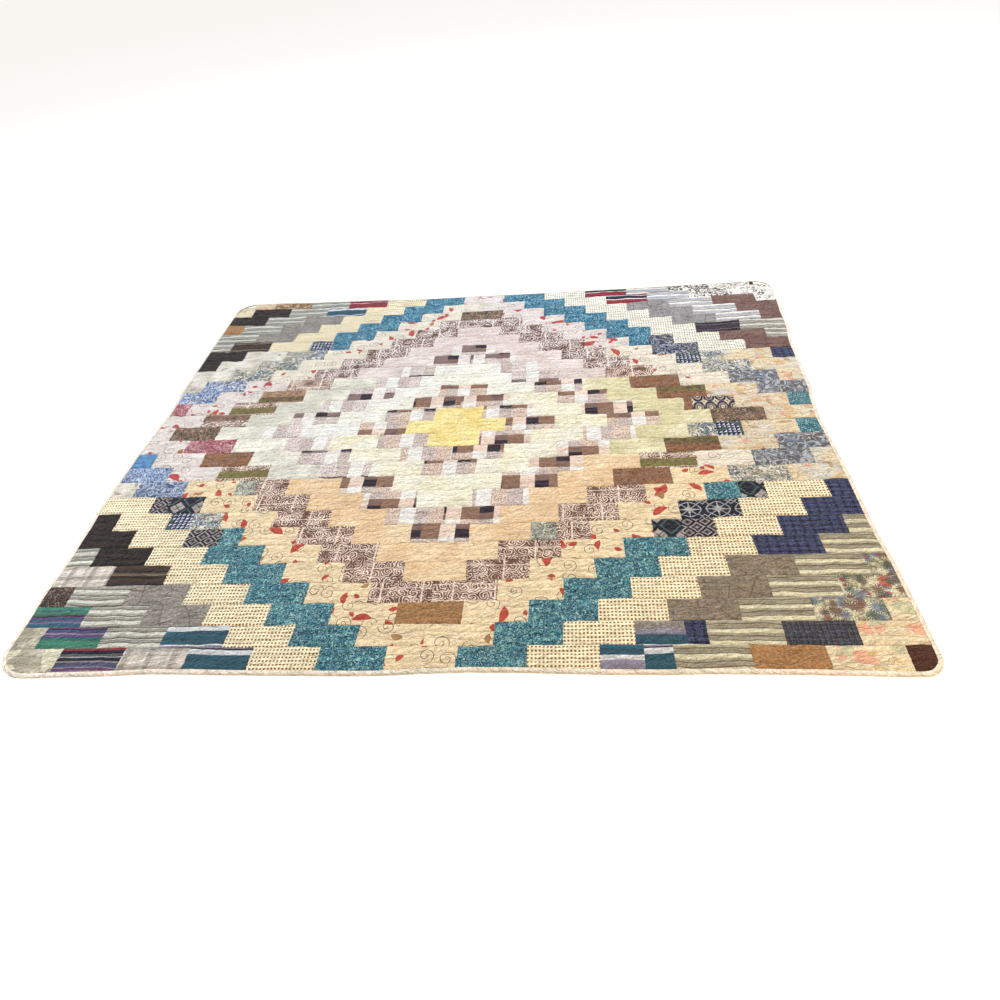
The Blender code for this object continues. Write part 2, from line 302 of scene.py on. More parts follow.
# Each cloth: (way of making it, its settings)
CLOTHS = {
    "yellow": ("mottled", dict(dyes=("butter", "butter deep"), cells=9, share=0.35)),
    "plain cream": ("mottled", dict(dyes=("milk", "milk warm"), cells=5, share=0.6)),
    # A bluer, whiter copy of plain cream for the back of its ring: painted glare from the window
    "faded cream": ("mottled", dict(dyes=("milk blue", "milk"), cells=5, share=0.6)),
    "pale green": ("mottled", dict(dyes=("pale green", "milk"), cells=7, share=0.4)),
    "straw green": ("mottled", dict(dyes=("green straw", "milk warm"), cells=7, share=0.4)),
    "peach": ("mottled", dict(dyes=("peach", "peach light"), cells=7, share=0.5)),
    "rose beige": ("mottled", dict(dyes=("rose beige", "rose light"), cells=7, share=0.5)),
    "block plaid": ("blocks", dict(
        across=0.148, down=0.166, dark="aubergine",
        pale=((0.0, "paper"), (BLOCK_PLAIN, "pink grey"), (0.62, "pink sand")),
        deep=((0.0, "pink sand"), (BLOCK_PLAIN, "mole"), (0.62, "nut")))),
    "brown scroll": ("scrolled", SCROLL),
    "brown scroll back": ("scrolled", BROAD_SCROLL_GLARE),
    # A paler, pinker copy of block plaid for the back and left middle: painted glare
    "block plaid back": ("blocks", dict(
        across=0.148, down=0.166, dark="aubergine",
        pale=((0.0, "paper"), (BLOCK_PLAIN, "pink grey"), (0.62, "rose light")),
        deep=((0.0, "rose light"), (BLOCK_PLAIN, "mole"), (0.62, "mauve")))),
    "tan": ("mottled", dict(dyes=("sienna", "fox"), cells=40, share=0.5)),
    "dark speckle": ("flecked", dict(dyes=("espresso", "sable"), fleck="sand", cells=95, cover=0.055)),
    "olive bark": ("halved", dict(
        front=("mottled", dict(dyes=("olive", "bark"), cells=60, share=0.5)),
        back=("flecked", dict(dyes=("walnut", "nut"), fleck="wheat", cells=90, cover=0.05)), share=0.40)),
    "brown sprig": ("halved", dict(
        front=("flecked", dict(dyes=("walnut", "nut"), fleck="snow", cells=65, cover=0.08)),
        back=("flecked", dict(dyes=("walnut", "bark"), fleck="sand", cells=120, cover=0.03)), share=0.45)),
    "maroon": ("flecked", dict(dyes=("maroon", "wine"), fleck="rose dust", cells=75, cover=0.065)),
    "rust": ("flecked", dict(dyes=("rust", "nut"), fleck="cedar", cells=85, cover=0.06)),
    "olive": ("halved", dict(
        front=("mottled", dict(dyes=("olive", "moss"), cells=60, share=0.5)), back=("scrolled", SCROLL),
        share=0.52)),
    "olive rust": ("halved", dict(
        front=("mottled", dict(dyes=("rust", "cedar"), cells=70, share=0.5)),
        back=("mottled", dict(dyes=("olive", "bark"), cells=60, share=0.4)), share=0.46)),
    "navy eyes": ("rings", dict(size=(0.040, 0.070), ground="navy", inks=("sand", "linen"))),
    "navy darts": ("darts", dict(size=(0.015, 0.014), ground="navy", inks=("ice", "spruce"))),
    "novelty": ("sprigged", dict(ground="oat", motifs=RED_LEAVES, curls=(15.0, 0.024, "ink", 4.0))),
    # Paler, pinker copies of the novelty print for the sides and back: painted glare
    "novelty side": ("sprigged", dict(
        ground="rose cream", motifs=RED_LEAVES, curls=(15.0, 0.024, "cocoa", 5.0))),
    "novelty back": ("sprigged", dict(
        ground="rose white", motifs=RED_LEAVES, curls=(15.0, 0.024, "cocoa", 6.0))),
    "leafy": ("sprigged", dict(
        ground="ivory",
        motifs=(
            (14.0, 0.031, 0, 0.52, 0.85, "petal", 3.0), (14.0, 0.030, 0, 0.50, 0.80, "fern", 9.0),
            (20.0, 0.019, 0, 0.40, 0.45, "wheat", 15.0)),
        curls=(14.0, 0.026, "wheat", 6.0))),
    "leafy brown": ("sprigged", dict(
        ground=("ivory", "bone"),
        motifs=(
            (12.0, 0.034, 0, 0.40, 0.50, "wheat", 3.0), (16.0, 0.022, 0, 0.35, 0.40, "sand", 9.0),
            (20.0, 0.018, 0, 0.35, 0.35, "petal", 15.0)),
        curls=(16.0, 0.026, "sand", 6.0))),
    "faded leaf": ("sprigged", dict(
        ground=("sage pale", "fawn"),
        motifs=(
            (7.0, 0.052, 0, 0.55, 0.7, "linen", 3.0), (11.0, 0.030, 0, 0.45, 0.5, "pewter", 9.0),
            (18.0, 0.016, 0, 0.50, 0.4, "linen", 14.0)))),
    "leafy grey": ("sprigged", dict(
        ground=("ash", "fawn"),
        motifs=((13.0, 0.028, 0, 0.40, 0.6, "linen", 3.0), (17.0, 0.018, 0, 0.35, 0.5, "smoke", 9.0)))),
    "blue fleck": ("flecked", dict(
        dyes=("azure", "lagoon"), fleck="mist", cells=66, cover=0.05, other="deep sea")),
    "teal fleck": ("flecked", dict(
        dyes=("teal", "sea"), fleck="foam", cells=88, cover=0.05, other="deep sea")),
    "navy diamonds": ("diamonds", dict(size=(0.050, 0.044), ground="midnight", inks=("smoke", "slate"))),
    "navy kite": ("kites", dict(size=(0.074, 0.080), ground="midnight", inks=("smoke", "spruce"))),
    "blue tile": ("stars", dict(size=(0.084, PATCH_DEPTH), ground="midnight", inks=("cloud", "bark"))),
    "light blue floral": ("flecked", dict(dyes=("denim", "fjord"), fleck="haze", cells=44, cover=0.08)),
    "blue floral": ("flecked", dict(
        dyes=("cornflower", "fjord"), fleck="haze", cells=62, cover=0.09, other="denim")),
    "pale blue floral": ("flecked", dict(
        dyes=("cornflower", "denim"), fleck="ice", cells=50, cover=0.09)),
    "green blue floral": ("flecked", dict(
        dyes=("sage pale", "fjord"), fleck="ash", cells=40, cover=0.065, other="spruce")),
    "marble": ("flecked", dict(
        dyes=("marble", "fjord"), fleck="cloud", cells=30, cover=0.08, other="slate")),
    "bright blue": ("mottled", dict(dyes=("cobalt", "cornflower"), cells=40, share=0.5)),
    "navy paisley": ("flecked", dict(
        dyes=("indigo", "slate"), fleck="cloud", cells=42, cover=0.06, other="navy")),
    "cream dot": ("dotted", dict(ground="straw", ink="mustard", step=(0.0098, 0.0112), size=0.0056)),
    # A whiter copy of cream dot, with greyer dots, for the back right: painted glare
    "pale dot": ("dotted", dict(ground="milk", ink="stone", step=(0.0098, 0.0112), size=0.0056)),
    "blue stripe": ("banded", dict(
        period=PATCH_DEPTH,
        bands=((0.0, "ice"), (0.05, "harbour"), (0.65, "ice"), (0.86, "coal"), (0.92, "lilac")))),
    "grey blue stripe": ("banded", dict(
        period=PATCH_DEPTH, bands=((0.0, "lilac"), (0.42, "ice"), (0.60, "harbour"), (0.86, "teal")))),
    "slate blue": ("banded", dict(
        period=PATCH_DEPTH,
        bands=((0.0, "harbour"), (0.36, "harbour"), (0.46, "lilac"), (0.8, "stone")), soft=True)),
    "grey": ("veined", dict(dyes=("stone", "pewter"), vein="slate", cells=15)),
    "cool grey": ("veined", dict(dyes=("dove", "dove deep"), vein="slate", cells=16)),
    "grey vein": ("veined", dict(dyes=("stone warm", "taupe"), vein="slate", cells=17)),
    "brown stripe": ("banded", dict(
        period=0.052,
        bands=(
            (0.0, "peat"), (0.22, "coal"), (0.34, "peat"), (0.48, "sand"), (0.51, "bark"), (0.7, "coal"),
            (0.80, "espresso")))),
    "charcoal": ("mottled", dict(dyes=("charcoal", "coal"), cells=50, share=0.5)),
    "navy plaid": ("plaid", dict(
        period=(0.026, 0.019), light="denim", middle="navy", dark="midnight", line="fjord")),
    "maroon stripe": ("banded", dict(
        period=PATCH_DEPTH,
        bands=((0.0, "wine"), (0.20, "snow"), (0.26, "midnight"), (0.60, "ice"), (0.66, "wine")))),
    "wine stripe": ("banded", dict(
        period=PATCH_DEPTH, bands=((0.0, "wine"), (0.52, "snow"), (0.56, "midnight"), (0.62, "wine")))),
    "plum stripe": ("banded", dict(
        period=0.04, bands=((0.0, "aubergine"), (0.4, "lilac"), (0.45, "aubergine"), (0.8, "espresso")))),
    "brown": ("veined", dict(dyes=("russet", "sable"), vein="espresso", cells=16)),
    "cool stripe": ("banded", dict(
        period=0.0372,
        bands=(
            (0.0, "bone"), (0.22, "bone"), (0.27, "reed deep"), (0.33, "reed"), (0.42, "reed pale"),
            (0.50, "reed"), (0.56, "bone"), (0.62, "reed"), (0.68, "reed deep"), (0.75, "reed pale"),
            (0.90, "reed pale"), (0.96, "bone")),
        soft=True)),
    "sage stripe": ("banded", dict(
        period=0.0372,
        bands=(
            (0.0, "chalk"), (0.25, "chalk"), (0.29, "sage deep"), (0.34, "sage"), (0.42, "sage pale"),
            (0.50, "sage"), (0.56, "sage pale"), (0.64, "sage"), (0.69, "sage deep"),
            (0.75, "sage pale"), (0.90, "sage pale"), (0.95, "chalk")),
        soft=True)),
    "grey stripe": ("banded", dict(
        period=0.043,
        bands=(
            (0.0, "dove pale"), (0.2, "dove"), (0.30, "cloud"), (0.5, "marble"), (0.56, "paper"),
            (0.8, "dove")))),
    "beige plaid": ("plaid", dict(
        period=(0.066, 0.058), light="rose white", middle="fawn", dark="pewter")),
    "jewel stripe": ("banded", dict(
        period=PATCH_DEPTH,
        bands=(
            (0.0, "emerald"), (0.26, "spruce"), (0.34, "steel"), (0.42, "plum"), (0.52, "lilac"),
            (0.58, "denim"), (0.72, "midnight"), (0.78, "plum"), (0.88, "emerald")))),
    "jewel stripe back": ("banded", dict(
        period=PATCH_DEPTH,
        bands=(
            (0.0, "fjord"), (0.06, "plum"), (0.14, "steel"), (0.26, "plum"), (0.32, "midnight"),
            (0.36, "spruce"), (0.46, "emerald"), (0.58, "denim"), (0.62, "emerald"), (0.84, "steel")))),
    "navy stripe": ("banded", dict(
        period=PATCH_DEPTH,
        bands=(
            (0.0, "plum"), (0.10, "stone"), (0.14, "denim"), (0.34, "stone"), (0.40, "midnight"),
            (0.56, "cloud"), (0.59, "slate"), (0.70, "midnight"), (0.84, "wine"), (0.95, "stone")))),
    "brown dot": ("flecked", dict(dyes=("peat", "coal"), fleck="pink sand", cells=90, cover=0.013)),
    "rust floral": ("flecked", dict(
        dyes=("rust", "nut"), fleck="wheat", cells=34, cover=0.05, other="espresso")),
    "garden": ("sprigged", dict(
        ground=("fern", "stone warm"), cells=90,
        motifs=(
            (24.0, 0.024, 15, 0.80, 0.45, "linen", 3.0), (26.0, 0.020, 17, 0.75, 0.5, "fjord", 9.0),
            (30.0, 0.018, 13, 0.85, 0.5, "sable", 14.0), (17.0, 0.018, 11, 0.60, 0.16, "coral", 21.0),
            (22.0, 0.016, 13, 0.75, 0.30, "cedar", 26.0), (28.0, 0.014, 15, 0.80, 0.35, "spruce", 31.0),
            (60.0, 0.007, 5, 0.5, 0.12, "maroon", 33.0)))),
    "dark scroll": ("flecked", dict(dyes=("ink", "slate"), fleck="snow", cells=34, cover=0.10)),
    "ink marks": ("flecked", dict(dyes=("paper", "ash"), fleck="ink", cells=40, cover=0.045)),
    "lichen speckle": ("flecked", dict(
        dyes=("lichen", "slate"), fleck="ash", cells=85, cover=0.06, other="spruce")),
    "dark brown": ("mottled", dict(dyes=("umber", "peat"), cells=14, share=0.3)),
    "night plaid": ("plaid", dict(
        period=(0.014, 0.012), light="slate", middle="night", dark="night", line="fjord")),
}

# Cloths of thick or uneven yarn, whose grain shows more than on the rest
COARSE = (
    "tan", "rust", "maroon", "olive", "olive bark", "olive rust", "brown", "brown sprig", "brown dot",
    "charcoal", "grey", "cool grey", "grey vein", "dark speckle", "dark brown", "teal fleck",
    "blue fleck", "navy plaid", "night plaid", "slate blue",
)
# How much the yarn's unevenness shows
FINE_GRAIN = 0.22
COARSE_GRAIN = 0.62

# Which cloth each ring of patches is cut from: (ring, side, first row, last row, cloth). Rows
# count from the middle towards the front. A later line holds where two name the same patch.
# Cloths named glare are paler copies of another cloth where the window washes it: painted glare
PIECING = (
    (0, "both", -13, 13, "yellow"),
    (1, "both", -13, 13, "block plaid"),
    (2, "both", -13, 13, "plain cream"),
    (3, "both", -13, 13, "block plaid"), (3, "both", -13, -4, "block plaid back"),
    (3, "left", -3, 3, "block plaid back"),
    (2, "left", -13, 0, "faded cream"), (2, "right", -13, -3, "faded cream"),
    (4, "both", -13, -1, "rose beige"), (4, "both", 0, 13, "peach"), (4, "left", -4, 3, "pale green"),
    (4, "right", -3, 2, "straw green"),
    (5, "both", -13, -5, "brown scroll back"), (5, "both", -4, 13, "brown scroll"),
    (5, "both", 11, 11, "tan"), (5, "both", -11, -11, "dark speckle"), (5, "both", 0, 0, "dark speckle"),
    (5, "left", -1, -1, "brown sprig"), (5, "left", -2, -2, "olive"), (5, "left", -3, -3, "olive bark"),
    (5, "left", 1, 1, "maroon"), (5, "left", 2, 2, "rust"), (5, "left", 3, 3, "olive"),
     
    (5, "right", -2, -2, "olive rust"), (5, "right", 2, 2, "olive rust"), (5, "right", -3, -3, "rust"),
    (5, "right", 3, 3, "olive"), (5, "right", 4, 4, "rust"),
    (6, "both", -13, -1, "novelty back"), (6, "both", 0, 13, "novelty"), (6, "right", -6, 13, "novelty"),
    (6, "right", -6, 3, "novelty side"), (6, "left", -13, -5, "novelty side"),
    (6, "left", 0, 3, "novelty back"), (6, "right", -2, 2, "leafy brown"),
    (7, "both", -13, -6, "blue fleck"), (7, "both", -5, 13, "teal fleck"),
      
    (7, "left", 4, 4, "light blue floral"), (7, "left", 3, 3, "blue floral"),
    (7, "left", 0, 2, "bright blue"), (7, "right", 6, 6, "blue tile"), 
    (7, "right", 4, 4, "green blue floral"), (7, "right", 2, 3, "marble"),
    (7, "right", -1, 1, "teal fleck"), (7, "right", -3, -2, "marble"),
    (7, "right", -4, -4, "green blue floral"), 
    (7, "right", -6, -6, "navy paisley"), 
     (7, "left", -7, -5, "green blue floral"),
    (7, "left", -4, -3, "pale blue floral"), (7, "left", -2, -1, "maroon"),
    (8, "both", -13, 13, "cream dot"), (8, "right", -13, -6, "pale dot"),
    (8, "left", -7, -4, "leafy grey"), (8, "right", -5, 4, "leafy brown"),
     (8, "left", 4, 4, "leafy grey"),
    (9, "left", 12, 13, "blue stripe"), (9, "left", 10, 11, "grey"), (9, "left", 9, 9, "brown stripe"),
    (9, "left", 5, 8, "charcoal"), 
     (9, "right", 9, 11, "grey vein"),
    (9, "right", 1, 8, "navy plaid"), (9, "left", -13, -13, "wine stripe"),
    (9, "left", -12, -12, "blue stripe"), (9, "left", -11, -9, "grey"),
    (9, "left", -8, -8, "brown stripe"), (9, "left", -7, -1, "charcoal"),
    (9, "right", -13, -12, "maroon stripe"), (9, "right", -11, -9, "cool grey"),
    (9, "right", -8, -8, "plum stripe"), (9, "right", -7, -6, "brown"),
    (9, "right", -5, -1, "navy plaid"),
    (10, "both", -13, 13, "cool stripe"), (10, "right", 0, 13, "sage stripe"),
    (10, "left", 13, 13, "beige plaid"), (10, "left", 9, 9, "beige plaid"),
    (10, "right", -13, -9, "grey stripe"),
    (11, "left", 13, 13, "navy stripe"), (11, "left", 12, 12, "jewel stripe"),
    (11, "left", 11, 11, "jewel stripe back"), (11, "left", 8, 10, "brown dot"),
    (11, "left", -13, -13, "rust floral"), (11, "left", -12, -11, "charcoal"),
    (11, "left", -10, -6, "tan"), (11, "right", -13, -12, "dark scroll"),
    (11, "right", -11, -1, "brown"), (11, "right", 13, 13, "tan"), (11, "right", 12, 12, "night plaid"),
    (11, "right", 6, 11, "garden"),
    (12, "both", -13, 13, "leafy"), (12, "left", 1, 13, "faded leaf"),
    (12, "right", -13, -1, "ink marks"),
    (13, "both", -13, 13, "dark brown"), 
    
)

# Patches pieced from two cloths: (ring, side, row, share from the left, left cloth, right cloth)
SPLITS = (
    (7, "left", 7, 0.62, "navy diamonds", "teal fleck"),
    (7, "left", 6, 0.42, "navy darts", "green blue floral"),
    (7, "left", 5, 0.34, "navy diamonds", "navy kite"),
    (7, "right", 7, 0.48, "navy kite", "navy diamonds"),
    (7, "right", 5, 0.58, "teal fleck", "navy kite"),
    (9, "right", 12, 0.70, "slate blue", "navy plaid"),
    (9, "right", 13, 0.60, "grey blue stripe", "blue stripe"),
    (5, "left", 4, 0.40, "lichen speckle", "brown scroll"),
    (5, "right", 7, 0.45, "lichen speckle", "brown scroll"),
    (5, "right", -1, 0.16, "rust", "navy eyes"),
    (7, "left", -8, 0.55, "navy darts", "blue fleck"),
    (7, "right", -5, 0.5, "navy darts", "green blue floral"),
    (7, "right", -7, 0.45, "blue fleck", "navy paisley"),
    (5, "right", 1, 0.5, "green blue floral", "navy darts"),
)


def linear(dye):
    """Linear colour of a dye: its name, or its screen colour from 0 to 1."""
    share = np.array(DYES[dye]) / 255.0 if isinstance(dye, str) else np.array(dye)
    value = np.where(share <= 0.04045, share / 12.92, ((share + 0.055) / 1.055) ** 2.4)
    return (float(value[0]), float(value[1]), float(value[2]), 1.0)


def value_noise(x, y, step_x, step_y, seed):
    """Smooth noise from -1 to 1: random heights at the corners of a grid, joined by eased steps."""
    table = np.random.default_rng(seed).uniform(-1.0, 1.0, (257, 257))
    across = x / step_x + 128.0
    down = y / step_y + 128.0
    col = np.floor(across).astype(int)
    row = np.floor(down).astype(int)
    part_x = across - col
    part_y = down - row
    part_x = part_x * part_x * (3 - 2 * part_x)
    part_y = part_y * part_y * (3 - 2 * part_y)
    col = np.mod(col, 256)
    row = np.mod(row, 256)
    low = table[row, col] * (1 - part_x) + table[row, col + 1] * part_x
    high = table[row + 1, col] * (1 - part_x) + table[row + 1, col + 1] * part_x
    return low * (1 - part_y) + high * part_y


def layers(x, y, table):
    """Layers of smooth noise added up, each one its height times noise of its own lengths."""
    return sum(row[0] * value_noise(x, y, *row[1:]) for row in table)


def node_points(name):
    """The vertices of a CAD node, as rows of x, y, z."""
    mesh = frame["nodes"][name].data
    flat = np.empty(len(mesh.vertices) * 3)
    mesh.vertices.foreach_get("co", flat)
    return flat.reshape(-1, 3)


def border_of_body():
    """The underside's border of the CAD sandwich, once round counterclockwise."""
    points = node_points("quilt_body")
    rim = np.unique(np.round(points[points[:, 2] < 1e-5][:, :2], 6), axis=0)
    turn = np.arctan2(rim[:, 1], rim[:, 0])
    return rim[np.argsort(turn)]


class Outline:
    """Reads the four edges of the CAD sandwich at any place."""

    def __init__(self):
        self.rim = border_of_body()
        ahead = np.roll(self.rim, -1, axis=0) - self.rim
        long = np.abs(ahead[:, 0]) > 0.05
        on_end = long | np.roll(long, 1)
        on_side = ~long | np.roll(~long, 1)
        x, y = self.rim.T
        self.low_side = self.edge(self.rim[on_side & (x < 0)], 1)
        self.high_side = self.edge(self.rim[on_side & (x > 0)], 1)
        self.front_side = self.edge(self.rim[on_end & (y < 0)], 0)
        self.back_side = self.edge(self.rim[on_end & (y > 0)], 0)

    def edge(self, points, along):
        """An edge's points in order of their place along it."""
        order = np.argsort(points[:, along])
        return points[order, along], points[order, 1 - along]

    def low(self, y):
        """Left edge's x at a depth."""
        return np.interp(y, *self.low_side)

    def high(self, y):
        """Right edge's x at a depth."""
        return np.interp(y, *self.high_side)

    def front(self, x):
        """Front edge's y at a place across."""
        return np.interp(x, *self.front_side)

    def back(self, x):
        """Back edge's y at a place across."""
        return np.interp(x, *self.back_side)

    def inside(self, x, y):
        """How far a point lies from the nearest edge."""
        sides = np.minimum(x - self.low(y), self.high(y) - x)
        ends = np.minimum(y - self.front(x), self.back(x) - y)
        return np.clip(np.minimum(sides, ends), 0.0, 1.0)


def drifted(x, y):
    """Where a point of the true lattice lies on the quilt: the point, its straying and a wobble."""
    side = x / SIDE_SPAN
    deep = y / ROW_SPAN
    places, right = np.array(ROWS_RIGHT).T
    fan = side * deep * (SEAM_FAN + SEAM_SPREAD * deep + SEAM_LEAN * side)
    move_x = np.interp(deep, places, right) + fan
    places, back = np.array(ROWS_BACK).T
    bow = side ** 2 * (ROW_BOW * (1 + deep ** 2) + ROW_FAN * deep)
    tilt = ROW_TILT * side * deep * (1 + deep)
    move_y = np.interp(deep, places, back) + bow + tilt + ROW_SWAY * (side - side ** 3)
    moved_x = x + 0.001 * move_x + layers(x, y, SEAM_WOBBLE) + PIECING_X
    moved_y = y + 0.001 * move_y + layers(x, y, ROW_WOBBLE) + PIECING_Y
    return moved_x, moved_y


def crease_rise(x, y):
    """Height of the creases: a soft ridge along each line of the table."""
    total = np.zeros_like(x)
    for from_x, from_y, to_x, to_y, half, rise in CREASES:
        run_x = to_x - from_x
        run_y = to_y - from_y
        long = run_x * run_x + run_y * run_y
        share = ((x - from_x) * run_x + (y - from_y) * run_y) / long
        bend = CREASE_BEND * np.sin(share * 5.0 + from_x * 9.0)
        away = ((x - from_x) * run_y - (y - from_y) * run_x) / math.sqrt(long) + bend
        ends = np.clip(1.0 - (2.0 * share - 1.0) ** 4, 0.0, 1.0) * (np.abs(share - 0.5) < 0.5)
        total = total + CREASE_FACTOR * rise * ends * np.exp(-((away / half) ** 2))
    return total


def stitch_phase(x, y, row_place, settings):
    """Counts the quilting lines in depth; a whole number lies on a line. Each line wanders."""
    count = settings.lines_per_patch * (row_place + 0.5)
    height, length, turn = LINE_SWAY
    wander = layers(x, y, [LINE_WANDER]) + height * np.sin(x / length + row_place * turn)
    return count + wander + layers(x, y, [LINE_DRIFT])


def line_gap(phase):
    """How far a count of the quilting lines is from the nearest line: 0 on it, 1 midway."""
    return np.abs(np.mod(phase + 0.5, 1.0) - 0.5) * 2.0


def top_height(x, y, phase, edge, settings):
    """Height of the face: puffs between stitched lines, gathers along them, creases and swells."""
    gap = line_gap(phase)
    puff = np.sin(np.pi * 0.5 * gap) ** PUFF_FULLNESS
    plump = 1.0 + layers(x, y, [PUFF_CHANGE])
    gather = layers(x + 0.5 * y, y, [GATHERS]) * (1.0 - 0.45 * gap)
    ridge = 1.0 - np.abs(layers(x + 0.7 * y, y - 0.35 * x, [RIDGES]))
    ridge = ridge + 0.8 - np.abs(layers(x - 0.9 * y, y + 0.30 * x, [CROSS_RIDGES]))
    face = settings.stitch_height + settings.puff_rise * puff * plump
    face = face + settings.gather_rise * gather + settings.crinkle_rise * ridge
    face = face + layers(x, y, SWELLS) + crease_rise(x, y)
    share = np.clip((edge - EDGE_LEVEL) / EDGE_TAPER, 0.0, 1.0) ** EDGE_FULLNESS
    return settings.edge_height + (face - settings.edge_height) * share


def spaced(count, size, rim):
    """Shares from 0 to 1 with two extra lines close to each end, where the cloth turns down."""
    near = np.array([0.0, rim / size, SECOND_TURN * rim / size])
    inner = np.linspace(near[-1], 1.0 - near[-1], count - 3)[1:-1]
    return np.concatenate([near, inner, 1.0 - near[::-1]])


def loop_of(rows, cols):
    """Index of each border point of a grid, once round counterclockwise."""
    grid = np.arange(rows * cols).reshape(rows, cols)
    return np.concatenate([grid[0, :-1], grid[:-1, -1], grid[-1, :0:-1], grid[:0:-1, 0]])


def grid_faces(rows, cols):
    """Four-sided faces of a grid of points, facing up."""
    grid = np.arange(rows * cols).reshape(rows, cols)
    corners = [grid[:-1, :-1], grid[:-1, 1:], grid[1:, 1:], grid[1:, :-1]]
    return np.stack(corners, axis=-1).reshape(-1, 4)


class Piece:
    """Gathers the meshes of one piece: points, faces and what the cloth reads at each point."""

    def __init__(self):
        self.points = []
        self.corners = []
        self.sizes = []
        self.places = []
        self.lines = []
        self.count = 0

    def add(self, points, quads, base, places, lines):
        """Add one closed shape: four-sided faces and, where it has one, a many-sided base."""
        self.points.append(points)
        self.corners.append(quads.ravel() + self.count)
        self.sizes.append(np.full(len(quads), 4))
        if len(base):
            self.corners.append(base + self.count)
            self.sizes.append(np.array([len(base)]))
        self.places.append(places)
        self.lines.append(lines)
        self.count += len(points)

    def make(self, name, material, slot):
        """One smooth object at the origin that rides on the quilt."""
        points = np.vstack(self.points)
        mesh = bpy.data.meshes.new(name)
        sizes = np.concatenate(self.sizes)
        corners = np.concatenate(self.corners)
        mesh.vertices.add(len(points))
        mesh.vertices.foreach_set("co", points.ravel())
        mesh.loops.add(len(corners))
        mesh.loops.foreach_set("vertex_index", corners)
        mesh.polygons.add(len(sizes))
        mesh.polygons.foreach_set("loop_start", np.concatenate([[0], np.cumsum(sizes)[:-1]]))
        mesh.polygons.foreach_set("loop_total", sizes)
        for layer, values in (("cut", np.vstack(self.places)), ("line", np.vstack(self.lines))):
            uv = mesh.uv_layers.new(name=layer)
            uv.data.foreach_set("uv", values[corners].ravel())
        mesh.update()
        mesh.validate()
        mesh.shade_smooth()
        item = bpy.data.objects.new(name, mesh)
        bpy.context.scene.collection.objects.link(item)
        mesh.materials.append(material)
        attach(item, "root")
        return item


def seam_grid(outline, row, left, right, share_x, share_y, settings):
    """x and y of one patch's face at shares of the way between its seams.

    The ends of each row of points are the strayed lattice's, held inside the outline. In the
    first and last rows of patches the depth goes from the quilt's edge to the next seam.
    """
    width = settings.patch_width
    depth = settings.patch_depth
    gap = settings.seam_gap
    true_y = (share_y - 0.5 - row) * depth
    from_x, from_y = drifted(left * width + 0.0 * share_x, true_y)
    to_x, to_y = drifted(right * width + 0.0 * share_x, true_y)
    low = np.maximum(from_x, outline.low(from_y))
    high = np.minimum(to_x, outline.high(to_y))
    x = low + gap + share_x * (high - low - 2 * gap)
    lattice_x = (left + (x - from_x) / (to_x - from_x) * (right - left)) * width
    y = drifted(lattice_x, true_y)[1]
    if row == ROWS_EACH_WAY:
        seam = drifted(lattice_x, (0.5 - row) * depth + 0.0 * x)[1]
        edge = outline.front(x)
        y = edge + share_y * (seam - edge)
    if row == -ROWS_EACH_WAY:
        seam = drifted(lattice_x, (-0.5 - row) * depth + 0.0 * x)[1]
        edge = outline.back(x)
        y = seam + share_y * (edge - seam)
    x = np.clip(x, outline.low(y) + gap, outline.high(y) - gap)
    y = np.clip(y, outline.front(x) + gap, outline.back(x) - gap)
    return x, y + gap * (1 - 2 * share_y), high - low


def patch_shape(outline, row, left, right, straight, settings, random):
    """One patch as a closed shape: a fine face that turns down at its seams, walls and a base."""
    width = settings.patch_width
    depth = settings.patch_depth
    across = spaced(PATCH_POINTS[0], width, SEAM_TURN)
    down = spaced(PATCH_POINTS[1], depth, SEAM_TURN)
    share_x, share_y = np.meshgrid(across, down)
    x, y, long = seam_grid(outline, row, left, right, share_x, share_y, settings)
    phase = stitch_phase(x, y, -row + (share_y - 0.5), settings)
    z = top_height(x, y, phase, outline.inside(x, y), settings)
    near_x = np.minimum(share_x, 1 - share_x) * long
    near_y = np.minimum(share_y, 1 - share_y) * depth
    near = np.minimum(near_x, near_y)
    dip = settings.seam_drop * np.exp(-((near / SEAM_REACH) ** 2))
    z = z - dip - SEAM_END_DROP * (near < 1e-6)
    rows, cols = x.shape
    face = np.stack([x.ravel(), y.ravel(), z.ravel()], axis=1)
    rim = loop_of(rows, cols)
    base = face[rim].copy()
    base[:, 2] = settings.base_height
    low_ring = rows * cols + np.arange(len(rim))
    walls = np.stack([np.roll(rim, -1), rim, low_ring, np.roll(low_ring, -1)], axis=1)
    quads = np.vstack([grid_faces(rows, cols), walls])
    start = random.uniform(0.0, CLOTH_LENGTH, 2)
    place = np.stack([x.ravel() - float(left) * width, y.ravel() + row * depth], axis=1)
    turned = place if random.random() < CUT_UPRIGHT else -place
    turned = turned + start
    if straight:
        turned = place + np.array([start[0], 0.5 * depth])
    line = np.stack([x.ravel(), phase.ravel()], axis=1)
    places = np.vstack([turned, turned[rim]])
    return np.vstack([face, base]), quads, low_ring[::-1], places, np.vstack([line, line[rim]])


def ring_of(row, middle):
    """Number of the diamond ring that a patch belongs to."""
    return int(round(abs(middle) + abs(row) / 2.0 - 0.5))


def cloth_of(row, middle):
    """Name of the cloth that a patch is cut from, read from the piecing table."""
    ring = ring_of(row, middle)
    side = "left" if middle < 0 else "right"
    found = "leafy"
    for number, half, first, last, name in PIECING:
        if number == ring and half in ("both", side) and first <= row <= last:
            found = name
    return found


def split_of(row, middle):
    """The seam's share and the two cloths of a patch that is pieced from two."""
    side = "left" if middle < 0 else "right"
    for ring, half, place, share, first, second in SPLITS:
        if ring == ring_of(row, middle) and half == side and place == row:
            return share, first, second
    return None


